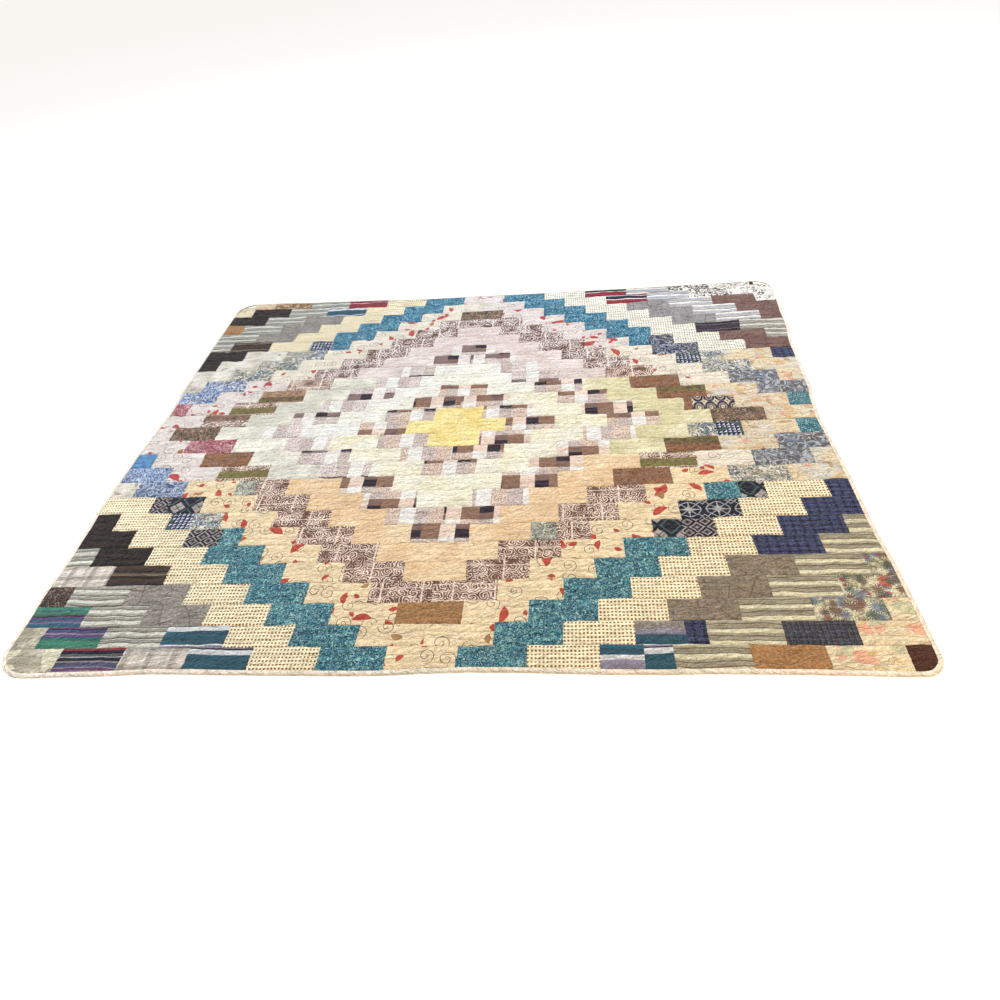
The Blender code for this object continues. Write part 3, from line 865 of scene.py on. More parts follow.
def patch_plan(outline, settings):
    """List of patches: row, left and right seam in patch widths, and the cloth's name."""
    plan = []
    for row in range(-ROWS_EACH_WAY, ROWS_EACH_WAY + 1):
        shift = 0.5 if row % 2 else 0.0
        seams = np.arange(-8, 8) + shift
        y = np.full(len(seams), -row * settings.patch_depth)
        places, depths = drifted(seams * settings.patch_width, y)
        low = float(outline.low(depths[0]))
        high = float(outline.high(depths[0]))
        inner = [seam for seam, place in zip(seams, places)
                 if low + SHORTEST_END < place < high - SHORTEST_END]
        ends = [inner[0] - 1.0] + inner + [inner[-1] + 1.0]
        for number in range(len(ends) - 1):
            left = ends[number]
            middle = left + 0.5
            reach_low = left - (0.5 if number == 0 else 0.0)
            reach_high = left + 1.0 + (0.5 if number == len(ends) - 2 else 0.0)
            split = split_of(row, middle)
            if split:
                seam = left + split[0]
                plan.append((row, reach_low, seam, split[1]))
                plan.append((row, seam, reach_high, split[2]))
            else:
                plan.append((row, reach_low, reach_high, cloth_of(row, middle)))
    return plan


class Bench:
    """Adds shader nodes to one tree, and hands back the socket that the next one reads."""

    def __init__(self, tree):
        self.tree = tree
        self.count = 0

    def put(self, kind, feeds=(), **choices):
        """One node, its settings, and its inputs by name or by order: a socket or a value."""
        node = self.tree.nodes.new(kind)
        node.location = (190 * (self.count % 12), -230 * (self.count // 12))
        self.count += 1
        for name, choice in choices.items():
            setattr(node, name, choice)
        return self.feed(node, feeds)

    def feed(self, node, feeds):
        """Links or sets the inputs of a node, and hands the node back."""
        pairs = feeds.items() if isinstance(feeds, dict) else enumerate(feeds)
        for key, feed in pairs:
            if isinstance(feed, bpy.types.NodeSocket):
                self.tree.links.new(feed, node.inputs[key])
            else:
                node.inputs[key].default_value = feed
        return node

    def use(self, tree, feeds):
        """The outputs of a node group that is fed by name."""
        node = self.put("ShaderNodeGroup", node_tree=tree)
        return self.feed(node, feeds).outputs

    def maths(self, kind, *feeds):
        """Result of a maths node."""
        return self.put("ShaderNodeMath", feeds, operation=kind).outputs[0]

    def plus(self, first, second):
        """The sum of two values."""
        return self.maths("ADD", first, second)

    def minus(self, first, second):
        """The second value taken from the first."""
        return self.maths("SUBTRACT", first, second)

    def times(self, first, second):
        """The product of two values."""
        return self.maths("MULTIPLY", first, second)

    def divide(self, first, second):
        """The first value over the second."""
        return self.maths("DIVIDE", first, second)

    def scale(self, value, factor, start):
        """A value times a factor, plus a start."""
        return self.maths("MULTIPLY_ADD", value, factor, start)

    def less(self, first, second):
        """1 where the first value is less than the second."""
        return self.maths("LESS_THAN", first, second)

    def more(self, first, second):
        """1 where the first value is more than the second."""
        return self.maths("GREATER_THAN", first, second)

    def larger(self, first, second):
        """The larger of two values."""
        return self.maths("MAXIMUM", first, second)

    def within(self, value, middle, reach):
        """1 where a value lies within a reach of a middle."""
        return self.maths("COMPARE", value, middle, reach)

    def from_half(self, value):
        """How far a value lies from a half."""
        return self.maths("ABSOLUTE", self.minus(value, 0.5))

    def repeat(self, value, period):
        """Share of the way through a repeat."""
        return self.maths("FRACT", self.divide(value, period))

    def ramp(self, value, start, end, first, last, kind="LINEAR"):
        """Goes from the first result to the last while a value goes from the start to the end."""
        feeds = {"Value": value, "From Min": start, "From Max": end, "To Min": first, "To Max": last}
        return self.put("ShaderNodeMapRange", feeds, interpolation_type=kind).outputs[0]

    def fall(self, value, start, end):
        """Eased step down from 1 at the start to 0 at the end."""
        return self.ramp(value, start, end, 1.0, 0.0, "SMOOTHSTEP")

    def split(self, vector):
        """The three parts of a vector."""
        return self.put("ShaderNodeSeparateXYZ", [vector]).outputs

    def join(self, x, y, z):
        """A vector of three parts."""
        return self.put("ShaderNodeCombineXYZ", [x, y, z]).outputs[0]

    def vector(self, kind, *feeds):
        """Result of a vector maths node."""
        return self.put("ShaderNodeVectorMath", feeds, operation=kind).outputs[0]

    def blend(self, share, first, second, kind="MIX"):
        """Two colours mixed by a share."""
        feeds = {0: share, 6: first, 7: second}
        return self.put("ShaderNodeMix", feeds, data_type="RGBA", blend_type=kind).outputs[2]

    def noise(self, place, scale, detail, bend=0.0):
        """Flat noise from 0 to 1."""
        feeds = {"Vector": place, "Scale": scale, "Detail": detail, "Distortion": bend}
        return self.put("ShaderNodeTexNoise", feeds, noise_dimensions="2D").outputs[0]

    def cells(self, place, many, random=1.0, **choices):
        """Outputs of flat cells about scattered points, as many to a metre."""
        feeds = {"Vector": place, "Scale": many, "Randomness": random}
        return self.put("ShaderNodeTexVoronoi", feeds, voronoi_dimensions="2D", **choices).outputs

    def bump(self, height, strength, distance, base=None):
        """Normal of a relief, on top of another where one is given."""
        feeds = {"Strength": strength, "Distance": distance, "Height": height}
        if base:
            feeds["Normal"] = base
        return self.put("ShaderNodeBump", feeds).outputs[0]


def start_group(name, vectors, values, results):
    """A new node group: its vector inputs, its number inputs and its number outputs."""
    tree = bpy.data.node_groups.new(name, "ShaderNodeTree")
    for label in vectors:
        tree.interface.new_socket(label, in_out="INPUT", socket_type="NodeSocketVector")
    for label in values:
        tree.interface.new_socket(label, in_out="INPUT", socket_type="NodeSocketFloat")
    for label in results:
        tree.interface.new_socket(label, in_out="OUTPUT", socket_type="NodeSocketFloat")
    bench = Bench(tree)
    entry = tree.nodes.new("NodeGroupInput")
    leave = tree.nodes.new("NodeGroupOutput")
    entry.location = (-300, 0)
    leave.location = (2500, 0)
    return tree, bench, entry.outputs, leave.inputs


def weave_group():
    """Over and under of the threads: the product of two sines, from 0 to 1."""
    tree, bench, feeds, results = start_group("Weave", ["Place"], ["Pitch"], ["Height"])
    part = bench.split(feeds["Place"])
    turn = bench.divide(2 * math.pi, feeds["Pitch"])
    warp = bench.maths("SINE", bench.times(part[0], turn))
    weft = bench.maths("SINE", bench.times(part[1], turn))
    cross = bench.scale(warp, weft, 1.0)
    tree.links.new(bench.times(cross, 0.5), results["Height"])
    return tree


def wear_group():
    """Soft fading and thread unevenness as one factor about 1."""
    tree, bench, feeds, results = start_group("Wear", ["Place"], ["Grain"], ["Shade"])
    broad = bench.noise(feeds["Place"], FADE_CELLS, 3.0)
    fine = bench.noise(feeds["Place"], YARN_CELLS, 2.0)
    soft = bench.scale(broad, FADE_SHARE, FADE_START)
    grain = bench.times(bench.minus(fine, 0.5), feeds["Grain"])
    tree.links.new(bench.scale(grain, 2.0, soft), results["Shade"])
    return tree


def stitch_group():
    """Thread dashes on the quilting lines, painted shade beside them and in the washed-in creases."""
    tree, bench, feeds, results = start_group(
        "Quilting line", ["Line"], [], ["Thread", "Ditch", "Crease", "Pucker"])
    part = bench.split(feeds["Line"])
    away = bench.from_half(bench.maths("FRACT", bench.plus(part[1], LINES_BEFORE + 0.5)))
    dash = bench.maths("SINE", bench.times(part[0], 2 * math.pi / STITCH_LENGTH))
    shown = bench.more(dash, -0.45)
    thin = bench.less(away, THREAD_HALF)
    tree.links.new(bench.times(shown, thin), results["Thread"])
    place = bench.vector("MULTIPLY", feeds["Line"], (1.0, LINE_PITCH, 1.0))
    # Painted shade beside each quilting line, uneven along it; the mask also sinks the relief below
    soft = bench.fall(away, 0.0, DITCH_REACH)
    uneven = bench.fall(bench.noise(place, DITCH_CELLS, 2.0), 0.36, 0.66)
    ditch = bench.times(soft, bench.scale(uneven, 0.75, 0.25))
    tree.links.new(ditch, results["Ditch"])
    level = bench.split(place)
    slant = bench.times(bench.scale(level[1], 0.9, level[0]), CREASE_CELLS[0])
    across = bench.times(bench.scale(level[0], -0.45, level[1]), CREASE_CELLS[1])
    grid = bench.join(slant, across, 0.0)
    ridge = bench.from_half(bench.noise(grid, 1.0, 2.0, 0.6))
    near = bench.scale(soft, 0.7, 0.45)
    pleat = bench.vector("MULTIPLY", place, (1.0, 0.40, 1.0))
    small = bench.times(bench.noise(pleat, PLEAT_CELLS, 2.0), near)
    long = bench.vector("MULTIPLY", place, (0.55, 1.0, 1.0))
    # Thin creases: their mask is painted shade on the colour, and also sinks the relief below
    stroke = bench.fall(bench.from_half(bench.noise(long, STROKE_CELLS, 1.5, 0.9)), 0.0, CREASE_HALF)
    other = bench.fall(bench.from_half(bench.noise(grid, 0.8, 1.0, 1.6)), 0.0, CROSS_CREASE_HALF)
    kept = bench.fall(bench.noise(place, KEPT_CELLS, 1.0), 0.40, 0.55)
    left = bench.minus(1.0, kept)
    crease = bench.larger(bench.times(stroke, kept), bench.times(other, left))
    tree.links.new(crease, results["Crease"])
    high = bench.scale(ridge, RIDGE_RISE, small)
    high = bench.scale(ditch, -DITCH_FALL, high)
    tree.links.new(bench.scale(crease, -CREASE_FALL, high), results["Pucker"])
    return tree


def cell_group():
    """Scattered motif middles: distance and direction from the nearest one, and two random picks."""
    tree, bench, feeds, results = start_group(
        "Scatter", ["Place"], ["Cells", "Seed"], ["Radius", "Turn", "Pick", "Other pick"])
    moved = bench.vector("ADD", feeds["Place"], feeds["Seed"])
    cell = bench.cells(moved, feeds["Cells"], 0.72)
    away = bench.vector("SUBTRACT", moved, cell["Position"])
    flat = bench.vector("MULTIPLY", away, (1.0, 1.0, 0.0))
    part = bench.split(flat)
    pick = bench.put("ShaderNodeSeparateColor", [cell["Color"]]).outputs
    turn = bench.maths("ARCTAN2", part[1], part[0])
    turn = bench.scale(pick[1], 2 * math.pi, turn)
    radius = bench.put("ShaderNodeVectorMath", [flat], operation="LENGTH").outputs["Value"]
    tree.links.new(radius, results["Radius"])
    tree.links.new(turn, results["Turn"])
    tree.links.new(pick[0], results["Pick"])
    tree.links.new(pick[2], results["Other pick"])
    return tree


def petal_group(scatter):
    """Scattered petalled motifs: inside where the radius is less than a lobed edge."""
    tree, bench, feeds, results = start_group(
        "Petals", ["Place"], ["Cells", "Size", "Petals", "Depth", "Keep", "Seed"], ["Mask"])
    cell = bench.use(scatter, {name: feeds[name] for name in ("Place", "Cells", "Seed")})
    half = bench.times(feeds["Petals"], 0.5)
    lobe = bench.maths("ABSOLUTE", bench.maths("COSINE", bench.times(cell["Turn"], half)))
    keep_in = bench.minus(1.0, feeds["Depth"])
    edge = bench.scale(lobe, feeds["Depth"], keep_in)
    grown = bench.scale(cell["Other pick"], 0.5, 0.75)
    edge = bench.times(bench.times(edge, grown), feeds["Size"])
    inside = bench.less(cell["Radius"], edge)
    kept = bench.less(cell["Pick"], feeds["Keep"])
    tree.links.new(bench.times(inside, kept), results["Mask"])
    return tree


def leaf_group(scatter):
    """Scattered pointed leaves: inside where a lens about the stem isn't passed."""
    tree, bench, feeds, results = start_group(
        "Leaves", ["Place"], ["Cells", "Size", "Slim", "Keep", "Seed"], ["Mask"])
    cell = bench.use(scatter, {name: feeds[name] for name in ("Place", "Cells", "Seed")})
    grown = bench.scale(cell["Other pick"], 0.5, 0.75)
    share = bench.divide(cell["Radius"], bench.times(grown, feeds["Size"]))
    along = bench.times(share, bench.maths("COSINE", cell["Turn"]))
    square = bench.times(along, along)
    over = bench.times(share, bench.maths("SINE", cell["Turn"]))
    bent = bench.maths("ABSOLUTE", bench.scale(square, 0.22, over))
    edge = bench.times(bench.minus(1.0, square), feeds["Slim"])
    inside = bench.less(bent, edge)
    kept = bench.less(cell["Pick"], feeds["Keep"])
    tree.links.new(bench.times(inside, kept), results["Mask"])
    return tree


def curl_group(scatter):
    """Thin drawn curls: a narrow band where a spiral's phase is near nought."""
    tree, bench, feeds, results = start_group(
        "Curls", ["Place"], ["Cells", "Size", "Seed"], ["Mask"])
    cell = bench.use(scatter, {name: feeds[name] for name in ("Place", "Cells", "Seed")})
    share = bench.divide(cell["Radius"], feeds["Size"])
    turns = bench.scale(cell["Turn"], 0.5 / math.pi, bench.times(share, 1.7))
    away = bench.from_half(bench.maths("FRACT", bench.plus(turns, TURNS_BEFORE + 0.5)))
    thin = bench.less(away, 0.06)
    inside = bench.less(share, 1.0)
    kept = bench.less(cell["Pick"], 0.75)
    tree.links.new(bench.times(bench.times(thin, inside), kept), results["Mask"])
    return tree


def tile_group():
    """Place inside a repeat, each way from -0.5 to 0.5, folded to one quarter as well."""
    tree, bench, feeds, results = start_group(
        "Repeat", ["Place"], ["Across", "Down"], ["X", "Y", "Fold X", "Fold Y"])
    part = bench.split(feeds["Place"])
    for number, (size, label) in enumerate((("Across", "X"), ("Down", "Y"))):
        share = bench.repeat(part[number], feeds[size])
        local = bench.minus(share, 0.5)
        tree.links.new(local, results[label])
        tree.links.new(bench.maths("ABSOLUTE", local), results["Fold " + label])
    return tree


class Dyer:
    """Makes a printed or woven colour for each cloth from shared node groups."""

    def __init__(self):
        self.weave = self.shared("Weave", weave_group)
        self.wear = self.shared("Wear", wear_group)
        self.stitch = self.shared("Quilting line", stitch_group)
        self.scatter = self.shared("Scatter", cell_group)
        self.petals = self.shared("Petals", petal_group, self.scatter)
        self.leaves = self.shared("Leaves", leaf_group, self.scatter)
        self.curls = self.shared("Curls", curl_group, self.scatter)
        self.tile = self.shared("Repeat", tile_group)

    def shared(self, name, maker, *feeds):
        """A node group that is made once and used by every cloth."""
        return bpy.data.node_groups.get(name) or maker(*feeds)

    def mottled(self, bench, place, dyes, cells, share):
        """Two dyes in soft clouds."""
        cloud = bench.noise(place, float(cells), 2.0)
        step = bench.ramp(cloud, CLOUD_START - share * 0.5, CLOUD_END, 0.0, 1.0, "SMOOTHSTEP")
        return bench.blend(step, linear(dyes[0]), linear(dyes[1]))

    def flecked(self, bench, place, dyes, fleck, cells, cover, other=None):
        """Clouded ground with small broken flecks of one or two more dyes."""
        colour = self.mottled(bench, place, dyes, cells * 0.3, 0.5)
        if other:
            mask = self.worms(bench, place, cells * 0.8, cover, 5.0)
            colour = bench.blend(mask, colour, linear(other))
        mask = self.worms(bench, place, cells, cover, 0.0)
        return bench.blend(mask, colour, linear(fleck))

    def worms(self, bench, place, cells, cover, start):
        """Short curved marks: where bent noise is close to its middle value."""
        moved = bench.vector("ADD", place, (start, start, 0.0))
        ridge = bench.from_half(bench.noise(moved, float(cells), 1.5, 1.4))
        return bench.ramp(ridge, cover * 0.5, cover, 0.9, 0.0)

    def halved(self, bench, place, front, back, share):
        """Two cloths in one patch: one before a line along it, one behind."""
        part = bench.split(place)
        level = bench.repeat(part[1], PATCH_DEPTH)
        first = getattr(self, front[0])(bench, place, **front[1])
        second = getattr(self, back[0])(bench, place, **back[1])
        return bench.blend(bench.more(level, share), first, second)

    def veined(self, bench, place, dyes, vein, cells):
        """Clouded ground with thin branching veins."""
        ground = self.mottled(bench, place, dyes, cells, 0.5)
        cell = bench.cells(place, float(cells), feature="DISTANCE_TO_EDGE")
        mask = bench.ramp(cell["Distance"], 0.012, 0.03, 0.8, 0.0)
        return bench.blend(mask, ground, linear(vein))

    def dotted(self, bench, place, ground, ink, step, size):
        """Small blunt dots on a grid."""
        cell = bench.use(self.tile, {"Place": place, "Across": step[0], "Down": step[1]})
        wide = bench.maths("POWER", bench.times(cell["Fold X"], step[0]), 3.0)
        tall = bench.maths("POWER", bench.times(cell["Fold Y"], step[1]), 3.0)
        mask = bench.less(bench.plus(wide, tall), (0.5 * size) ** 3)
        return bench.blend(mask, linear(ground), linear(ink))

    def stops(self, bench, share, bands, soft):
        """A colour read from a table of (start, dye)."""
        node = bench.put("ShaderNodeValToRGB", [share])
        node.color_ramp.interpolation = "EASE" if soft else "CONSTANT"
        marks = node.color_ramp.elements
        marks[0].position = bands[0][0]
        marks[0].color = linear(bands[0][1])
        marks[1].position = bands[-1][0]
        marks[1].color = linear(bands[-1][1])
        for start, dye in bands[1:-1]:
            mark = marks.new(start)
            mark.color = linear(dye)
        return node.outputs[0]

    def banded(self, bench, place, period, bands, soft=False):
        """Woven stripes that run along the patch."""
        part = bench.split(place)
        sway = bench.times(bench.minus(bench.noise(place, SWAY_CELLS, 1.0), 0.5), STRIPE_SWAY)
        share = bench.repeat(bench.plus(part[1], sway), period)
        return self.stops(bench, share, bands, soft)

    def plaid(self, bench, place, period, light, middle, dark, line=None):
        """Warp and weft stripes of three dyes; where two of a kind cross the dye is full."""
        part = bench.split(place)
        bands = tuple(zip(PLAID_STARTS, (light, middle, light, dark, middle)))
        wide = bench.repeat(part[0], period[0])
        tall = bench.repeat(part[1], period[1])
        warp = self.stops(bench, wide, bands, False)
        weft = self.stops(bench, tall, bands, False)
        both = bench.blend(0.5, warp, weft)
        deep = bench.blend(1.0, warp, weft, "DARKEN")
        grain = bench.use(self.weave, {"Place": place, "Pitch": YARN_PITCH})[0]
        colour = bench.blend(bench.scale(grain, 0.4, 0.12), both, deep)
        if line:
            thin = bench.larger(bench.within(wide, *PLAID_LINE), bench.within(tall, *PLAID_LINE))
            broken = bench.more(bench.noise(place, 150.0, 1.0), 0.46)
            colour = bench.blend(bench.times(bench.times(thin, broken), 0.5), colour, linear(line))
        return colour

    def blocks(self, bench, place, across, down, dark, pale, deep):
        """Large woven checks: a row of pale blocks, then a row of brown ones with dark feet."""
        part = bench.split(place)
        wide = bench.repeat(part[0], across)
        tall = bench.repeat(part[1], down)
        first = self.stops(bench, wide, pale, False)
        second = self.stops(bench, wide, deep, False)
        colour = bench.blend(bench.more(tall, BLOCK_PALE), first, second)
        woven = bench.more(wide, BLOCK_PLAIN)
        speck = bench.fall(bench.noise(place, 190.0, 1.0), 0.40, 0.54)
        colour = bench.blend(bench.times(bench.times(speck, woven), 0.55), colour, linear("mole"))
        foot = bench.times(bench.within(wide, *BLOCK_FOOT[0]), bench.within(tall, *BLOCK_FOOT[1]))
        ragged = bench.scale(bench.noise(place, 60.0, 1.0), 0.030, 0.590)
        line = bench.times(bench.within(tall, ragged, 0.012), bench.times(woven, 0.9))
        return bench.blend(bench.larger(foot, line), colour, linear(dark))

    def sprigged(self, bench, place, ground, motifs, curls=None, cells=9):
        """Scattered flowers or leaves on a plain or clouded ground, one layer for each motif."""
        dyes = (ground, ground) if isinstance(ground, str) else ground
        colour = self.mottled(bench, place, dyes, cells, 0.5)
        if curls:
            many, size, dye, seed = curls
            mask = bench.use(self.curls, {"Place": place, "Cells": many, "Size": size, "Seed": seed})[0]
            colour = bench.blend(mask, colour, linear(dye))
        for many, size, petals, shape, keep, dye, seed in motifs:
            feeds = {"Place": place, "Cells": many, "Size": size, "Keep": keep, "Seed": seed}
            if petals:
                mask = bench.use(self.petals, {**feeds, "Petals": float(petals), "Depth": shape})[0]
            else:
                mask = bench.use(self.leaves, {**feeds, "Slim": shape})[0]
            worn = bench.times(mask, 0.9)
            colour = bench.blend(worn, colour, linear(dye))
        return colour

    def scrolled(self, bench, place, ground, ink, cells, pitch):
        """Spiral scrolls: bands of a phase that grows with the radius and the turn."""
        setting = {"Vector": place, "Scale": 55.0, "Detail": 1.0}
        bent = bench.put("ShaderNodeTexNoise", setting, noise_dimensions="2D").outputs["Color"]
        spread = bench.vector("MULTIPLY_ADD", bent, (0.011, 0.011, 0.0), place)
        cell = bench.use(self.scatter, {"Place": spread, "Cells": float(cells), "Seed": 2.0})
        rounds = bench.divide(cell["Radius"], pitch)
        turns = bench.scale(cell["Turn"], 1.0 / math.pi, rounds)
        wave = bench.maths("SINE", bench.times(turns, 2 * math.pi))
        level = bench.scale(bench.noise(place, 22.0, 1.0), 3.0, -1.80)
        mask = bench.more(wave, level)
        eye = bench.less(cell["Radius"], pitch * 0.28)
        colour = bench.blend(bench.larger(mask, eye), linear(ground), linear(ink))
        wide, tall = self.folded(bench, place, SCROLL_FRAME)
        rim = bench.more(bench.larger(wide, tall), 0.478)
        return bench.blend(rim, colour, linear(ground))

    def folded(self, bench, place, size):
        """How far a point lies from the middle of a repeat, across and down."""
        cell = bench.use(self.tile, {"Place": place, "Across": size[0], "Down": size[1]})
        return cell["Fold X"], cell["Fold Y"]

    def darts(self, bench, place, size, ground, inks):
        """Small darts: one side of a slant across each repeat, clouded with a second dye."""
        cell = bench.use(self.tile, {"Place": place, "Across": size[0], "Down": size[1]})
        first = bench.more(cell["X"], bench.plus(cell["Y"], 0.26))
        colour = bench.blend(first, linear(ground), linear(inks[0]))
        cloud = bench.noise(place, 30.0, 2.0)
        return bench.blend(bench.more(cloud, 0.60), colour, linear(inks[1]))

    def stars(self, bench, place, size, ground, inks):
        """Star tiles: slanting bars, arcs, corner bars and rays about a round middle."""
        wide, tall = self.folded(bench, place, size)
        apart = bench.maths("ABSOLUTE", bench.minus(wide, tall))
        joined = bench.plus(wide, tall)
        square = bench.scale(wide, wide, bench.times(tall, tall))
        radius = bench.maths("SQRT", square)
        colour = bench.blend(bench.less(radius, 0.20), linear(ground), linear(inks[1]))
        arc = bench.within(bench.plus(square, bench.times(joined, 0.30)), 0.30, 0.022)
        ray = bench.less(bench.times(wide, tall), 0.006)
        ray = bench.times(ray, bench.less(radius, 0.44))
        corner = bench.within(joined, 0.80, 0.022)
        marks = bench.larger(bench.less(apart, 0.024), bench.larger(arc, corner))
        marks = bench.larger(marks, ray)
        return bench.blend(bench.times(marks, 0.82), colour, linear(inks[0]))

    def kites(self, bench, place, size, ground, inks):
        """Kites in fours, parted by a slanting gap, with a slanting bar between them."""
        wide, tall = self.folded(bench, place, size)
        apart = bench.maths("ABSOLUTE", bench.minus(wide, tall))
        joined = bench.plus(wide, tall)
        inside = bench.less(joined, 0.36)
        gap = bench.less(apart, 0.022)
        whole = bench.times(inside, bench.minus(1.0, gap))
        edge = bench.within(joined, 0.60, 0.05)
        colour = bench.blend(edge, linear(ground), linear(inks[1]))
        return bench.blend(whole, colour, linear(inks[0]))

    def diamonds(self, bench, place, size, ground, inks):
        """Diamonds, one inside another."""
        wide, tall = self.folded(bench, place, size)
        return self.nested(bench, bench.times(bench.plus(wide, tall), 19.0), ground, inks)

    def rings(self, bench, place, size, ground, inks):
        """Rings, one inside another."""
        wide, tall = self.folded(bench, place, size)
        square = bench.scale(wide, wide, bench.times(tall, tall))
        return self.nested(bench, bench.times(bench.maths("SQRT", square), 26.0), ground, inks)

    def nested(self, bench, field, ground, inks):
        """Bands of two dyes where a wave of a growing value, and one half as fast, are high."""
        wave = bench.maths("SINE", field)
        other = bench.maths("SINE", bench.times(field, 0.5))
        colour = bench.blend(bench.more(wave, 0.35), linear(ground), linear(inks[0]))
        return bench.blend(bench.more(other, 0.86), colour, linear(inks[1]))

    def cloth(self, name, way, choices, relief=1.0, crease=CREASE_SHADE):
        """A cotton material: printed colour, wear, painted ditch and crease shade, thread dashes and
        relief.
        """
        material = bpy.data.materials.new(name)
        material.use_nodes = True
        tree = material.node_tree
        shader = tree.nodes["Principled BSDF"]
        bench = Bench(tree)
        place = bench.put("ShaderNodeUVMap", uv_map="cut").outputs[0]
        line = bench.put("ShaderNodeUVMap", uv_map="line").outputs[0]
        colour = getattr(self, way)(bench, place, **choices)
        grain = COARSE_GRAIN if name in COARSE else FINE_GRAIN
        shade = bench.use(self.wear, {"Place": place, "Grain": grain})[0]
        mark = bench.use(self.stitch, {"Line": line})
        # Painted shade: darker beside the quilting lines and along the creases, where shade falls
        shade = bench.times(shade, bench.scale(mark["Ditch"], -DITCH_SHADE, 1.0))
        shade = bench.times(shade, bench.scale(mark["Crease"], -crease, 1.0))
        grey = bench.join(shade, shade, shade)
        colour = bench.blend(1.0, colour, grey, "MULTIPLY")
        thread = bench.times(mark["Thread"], STITCH_SHOWN)
        colour = bench.blend(thread, colour, linear("milk"))
        tree.links.new(colour, shader.inputs["Base Color"])
        weave = bench.use(self.weave, {"Place": place, "Pitch": THREAD_PITCH})[0]
        fine = bench.bump(weave, THREAD_STRENGTH * relief, THREAD_DEPTH)
        folds = bench.bump(mark["Pucker"], 1.0, PUCKER_DEPTH, fine)
        tree.links.new(folds, shader.inputs["Normal"])
        shader.inputs["Roughness"].default_value = COTTON_ROUGHNESS
        shader.inputs["Specular IOR Level"].default_value = COTTON_SHINE
        shader.inputs["Sheen Weight"].default_value = COTTON_SHEEN[0]
        shader.inputs["Sheen Roughness"].default_value = COTTON_SHEEN[1]
        return material


def backing_shape(outline, settings):
    """Wadding and backing: a level top under the patches and a softly channelled underside."""
    piece = Piece()
    share = np.linspace(0.0, 1.0, BACKING_POINTS[0])
    edge_rows = np.array(BACKING_EDGE_ROWS)
    low = outline.rim[:, 1].min()
    high = outline.rim[:, 1].max()
    inner = np.linspace(low + BACKING_EVEN_FROM, high - BACKING_EVEN_FROM, BACKING_POINTS[1])
    depth = np.concatenate([low + edge_rows, inner, high - edge_rows[::-1]])
    share_x, y = np.meshgrid(share, depth)
    x = outline.low(y) + share_x * (outline.high(y) - outline.low(y))
    y = np.clip(y, outline.front(x), outline.back(x))
    phase = stitch_phase(x, y, y / settings.patch_depth, settings)
    edge = np.clip(outline.inside(x, y) / BACKING_LEVEL_EDGE, 0.0, 1.0)
    under = CHANNEL_RISE * (1.0 - np.sqrt(line_gap(phase))) * edge
    rows, cols = x.shape
    flat = np.stack([x.ravel(), y.ravel()], axis=1)
    top = np.column_stack([flat, np.full(len(flat), settings.base_height - UNDER_PATCHES)])
    base = np.column_stack([flat, under.ravel()])
    faces = grid_faces(rows, cols)
    rim = loop_of(rows, cols)
    after = np.roll(rim, -1)
    count = rows * cols
    walls = np.stack([after, rim, rim + count, after + count], axis=1)
    every = np.vstack([faces, faces[:, ::-1] + count, walls])
    places = np.vstack([flat, flat])
    line = np.stack([x.ravel(), phase.ravel()], axis=1)
    piece.add(np.vstack([top, base]), every, (), places, np.vstack([line, line]))
    return piece


def eased_loop(rim, count):
    """A closed loop read at even steps of its length, smoothed by a short running mean."""
    ahead = np.linalg.norm(np.roll(rim, -1, axis=0) - rim, axis=1)
    run = np.concatenate([[0.0], np.cumsum(ahead)])
    closed = np.vstack([rim, rim[:1]])
    at = np.linspace(0.0, run[-1], count, endpoint=False)
    loop = np.column_stack([np.interp(at, run, closed[:, 0]), np.interp(at, run, closed[:, 1])])
    smooth = (np.roll(loop, 2, axis=0) + 2 * np.roll(loop, 1, axis=0) + 2 * loop
              + 2 * np.roll(loop, -1, axis=0) + np.roll(loop, -2, axis=0)) / 8.0
    return smooth, at


def binding_shape(outline, settings):
    """The folded strip: a rounded cross-section carried round the loop, gathered a little."""
    piece = Piece()
    loop, at = eased_loop(outline.rim, BINDING_POINTS)
    ahead = np.roll(loop, -1, axis=0) - np.roll(loop, 1, axis=0)
    ahead = ahead / np.linalg.norm(ahead, axis=1)[:, None]
    normal = np.column_stack([ahead[:, 1], -ahead[:, 0]])
    width = settings.binding_width
    height = settings.binding_height
    profile = np.array(BINDING_PROFILE)
    pull = 1.0 + layers(at, at * 0.0, BINDING_PULL)
    out = profile[:, 0][:, None] * width * np.minimum(pull, 1.0)[None, :]
    lift = profile[:, 1][:, None] * height * (0.93 + 0.07 * pull)[None, :]
    x = loop[:, 0][None, :] + normal[:, 0][None, :] * (out + NODE_GAP)
    y = loop[:, 1][None, :] + normal[:, 1][None, :] * (out + NODE_GAP)
    steps, count = x.shape
    points = np.stack([x.ravel(), y.ravel(), lift.ravel()], axis=1)
    grid = np.arange(steps * count).reshape(steps, count)
    turn = np.roll(grid, -1, axis=0)
    faces = np.stack([grid, turn, np.roll(turn, -1, axis=1), np.roll(grid, -1, axis=1)], axis=-1)
    faces = faces.reshape(-1, 4)
    girth = np.linspace(0.0, BINDING_GIRTH, steps)[:, None] + np.zeros((1, count))
    along = at[None, :] + np.zeros((steps, 1))
    places = np.stack([along.ravel(), girth.ravel()], axis=1)
    line = np.stack([along.ravel(), (girth / BINDING_GIRTH * 0.9 + 0.02).ravel()], axis=1)
    piece.add(points, faces, (), places, line)
    return piece


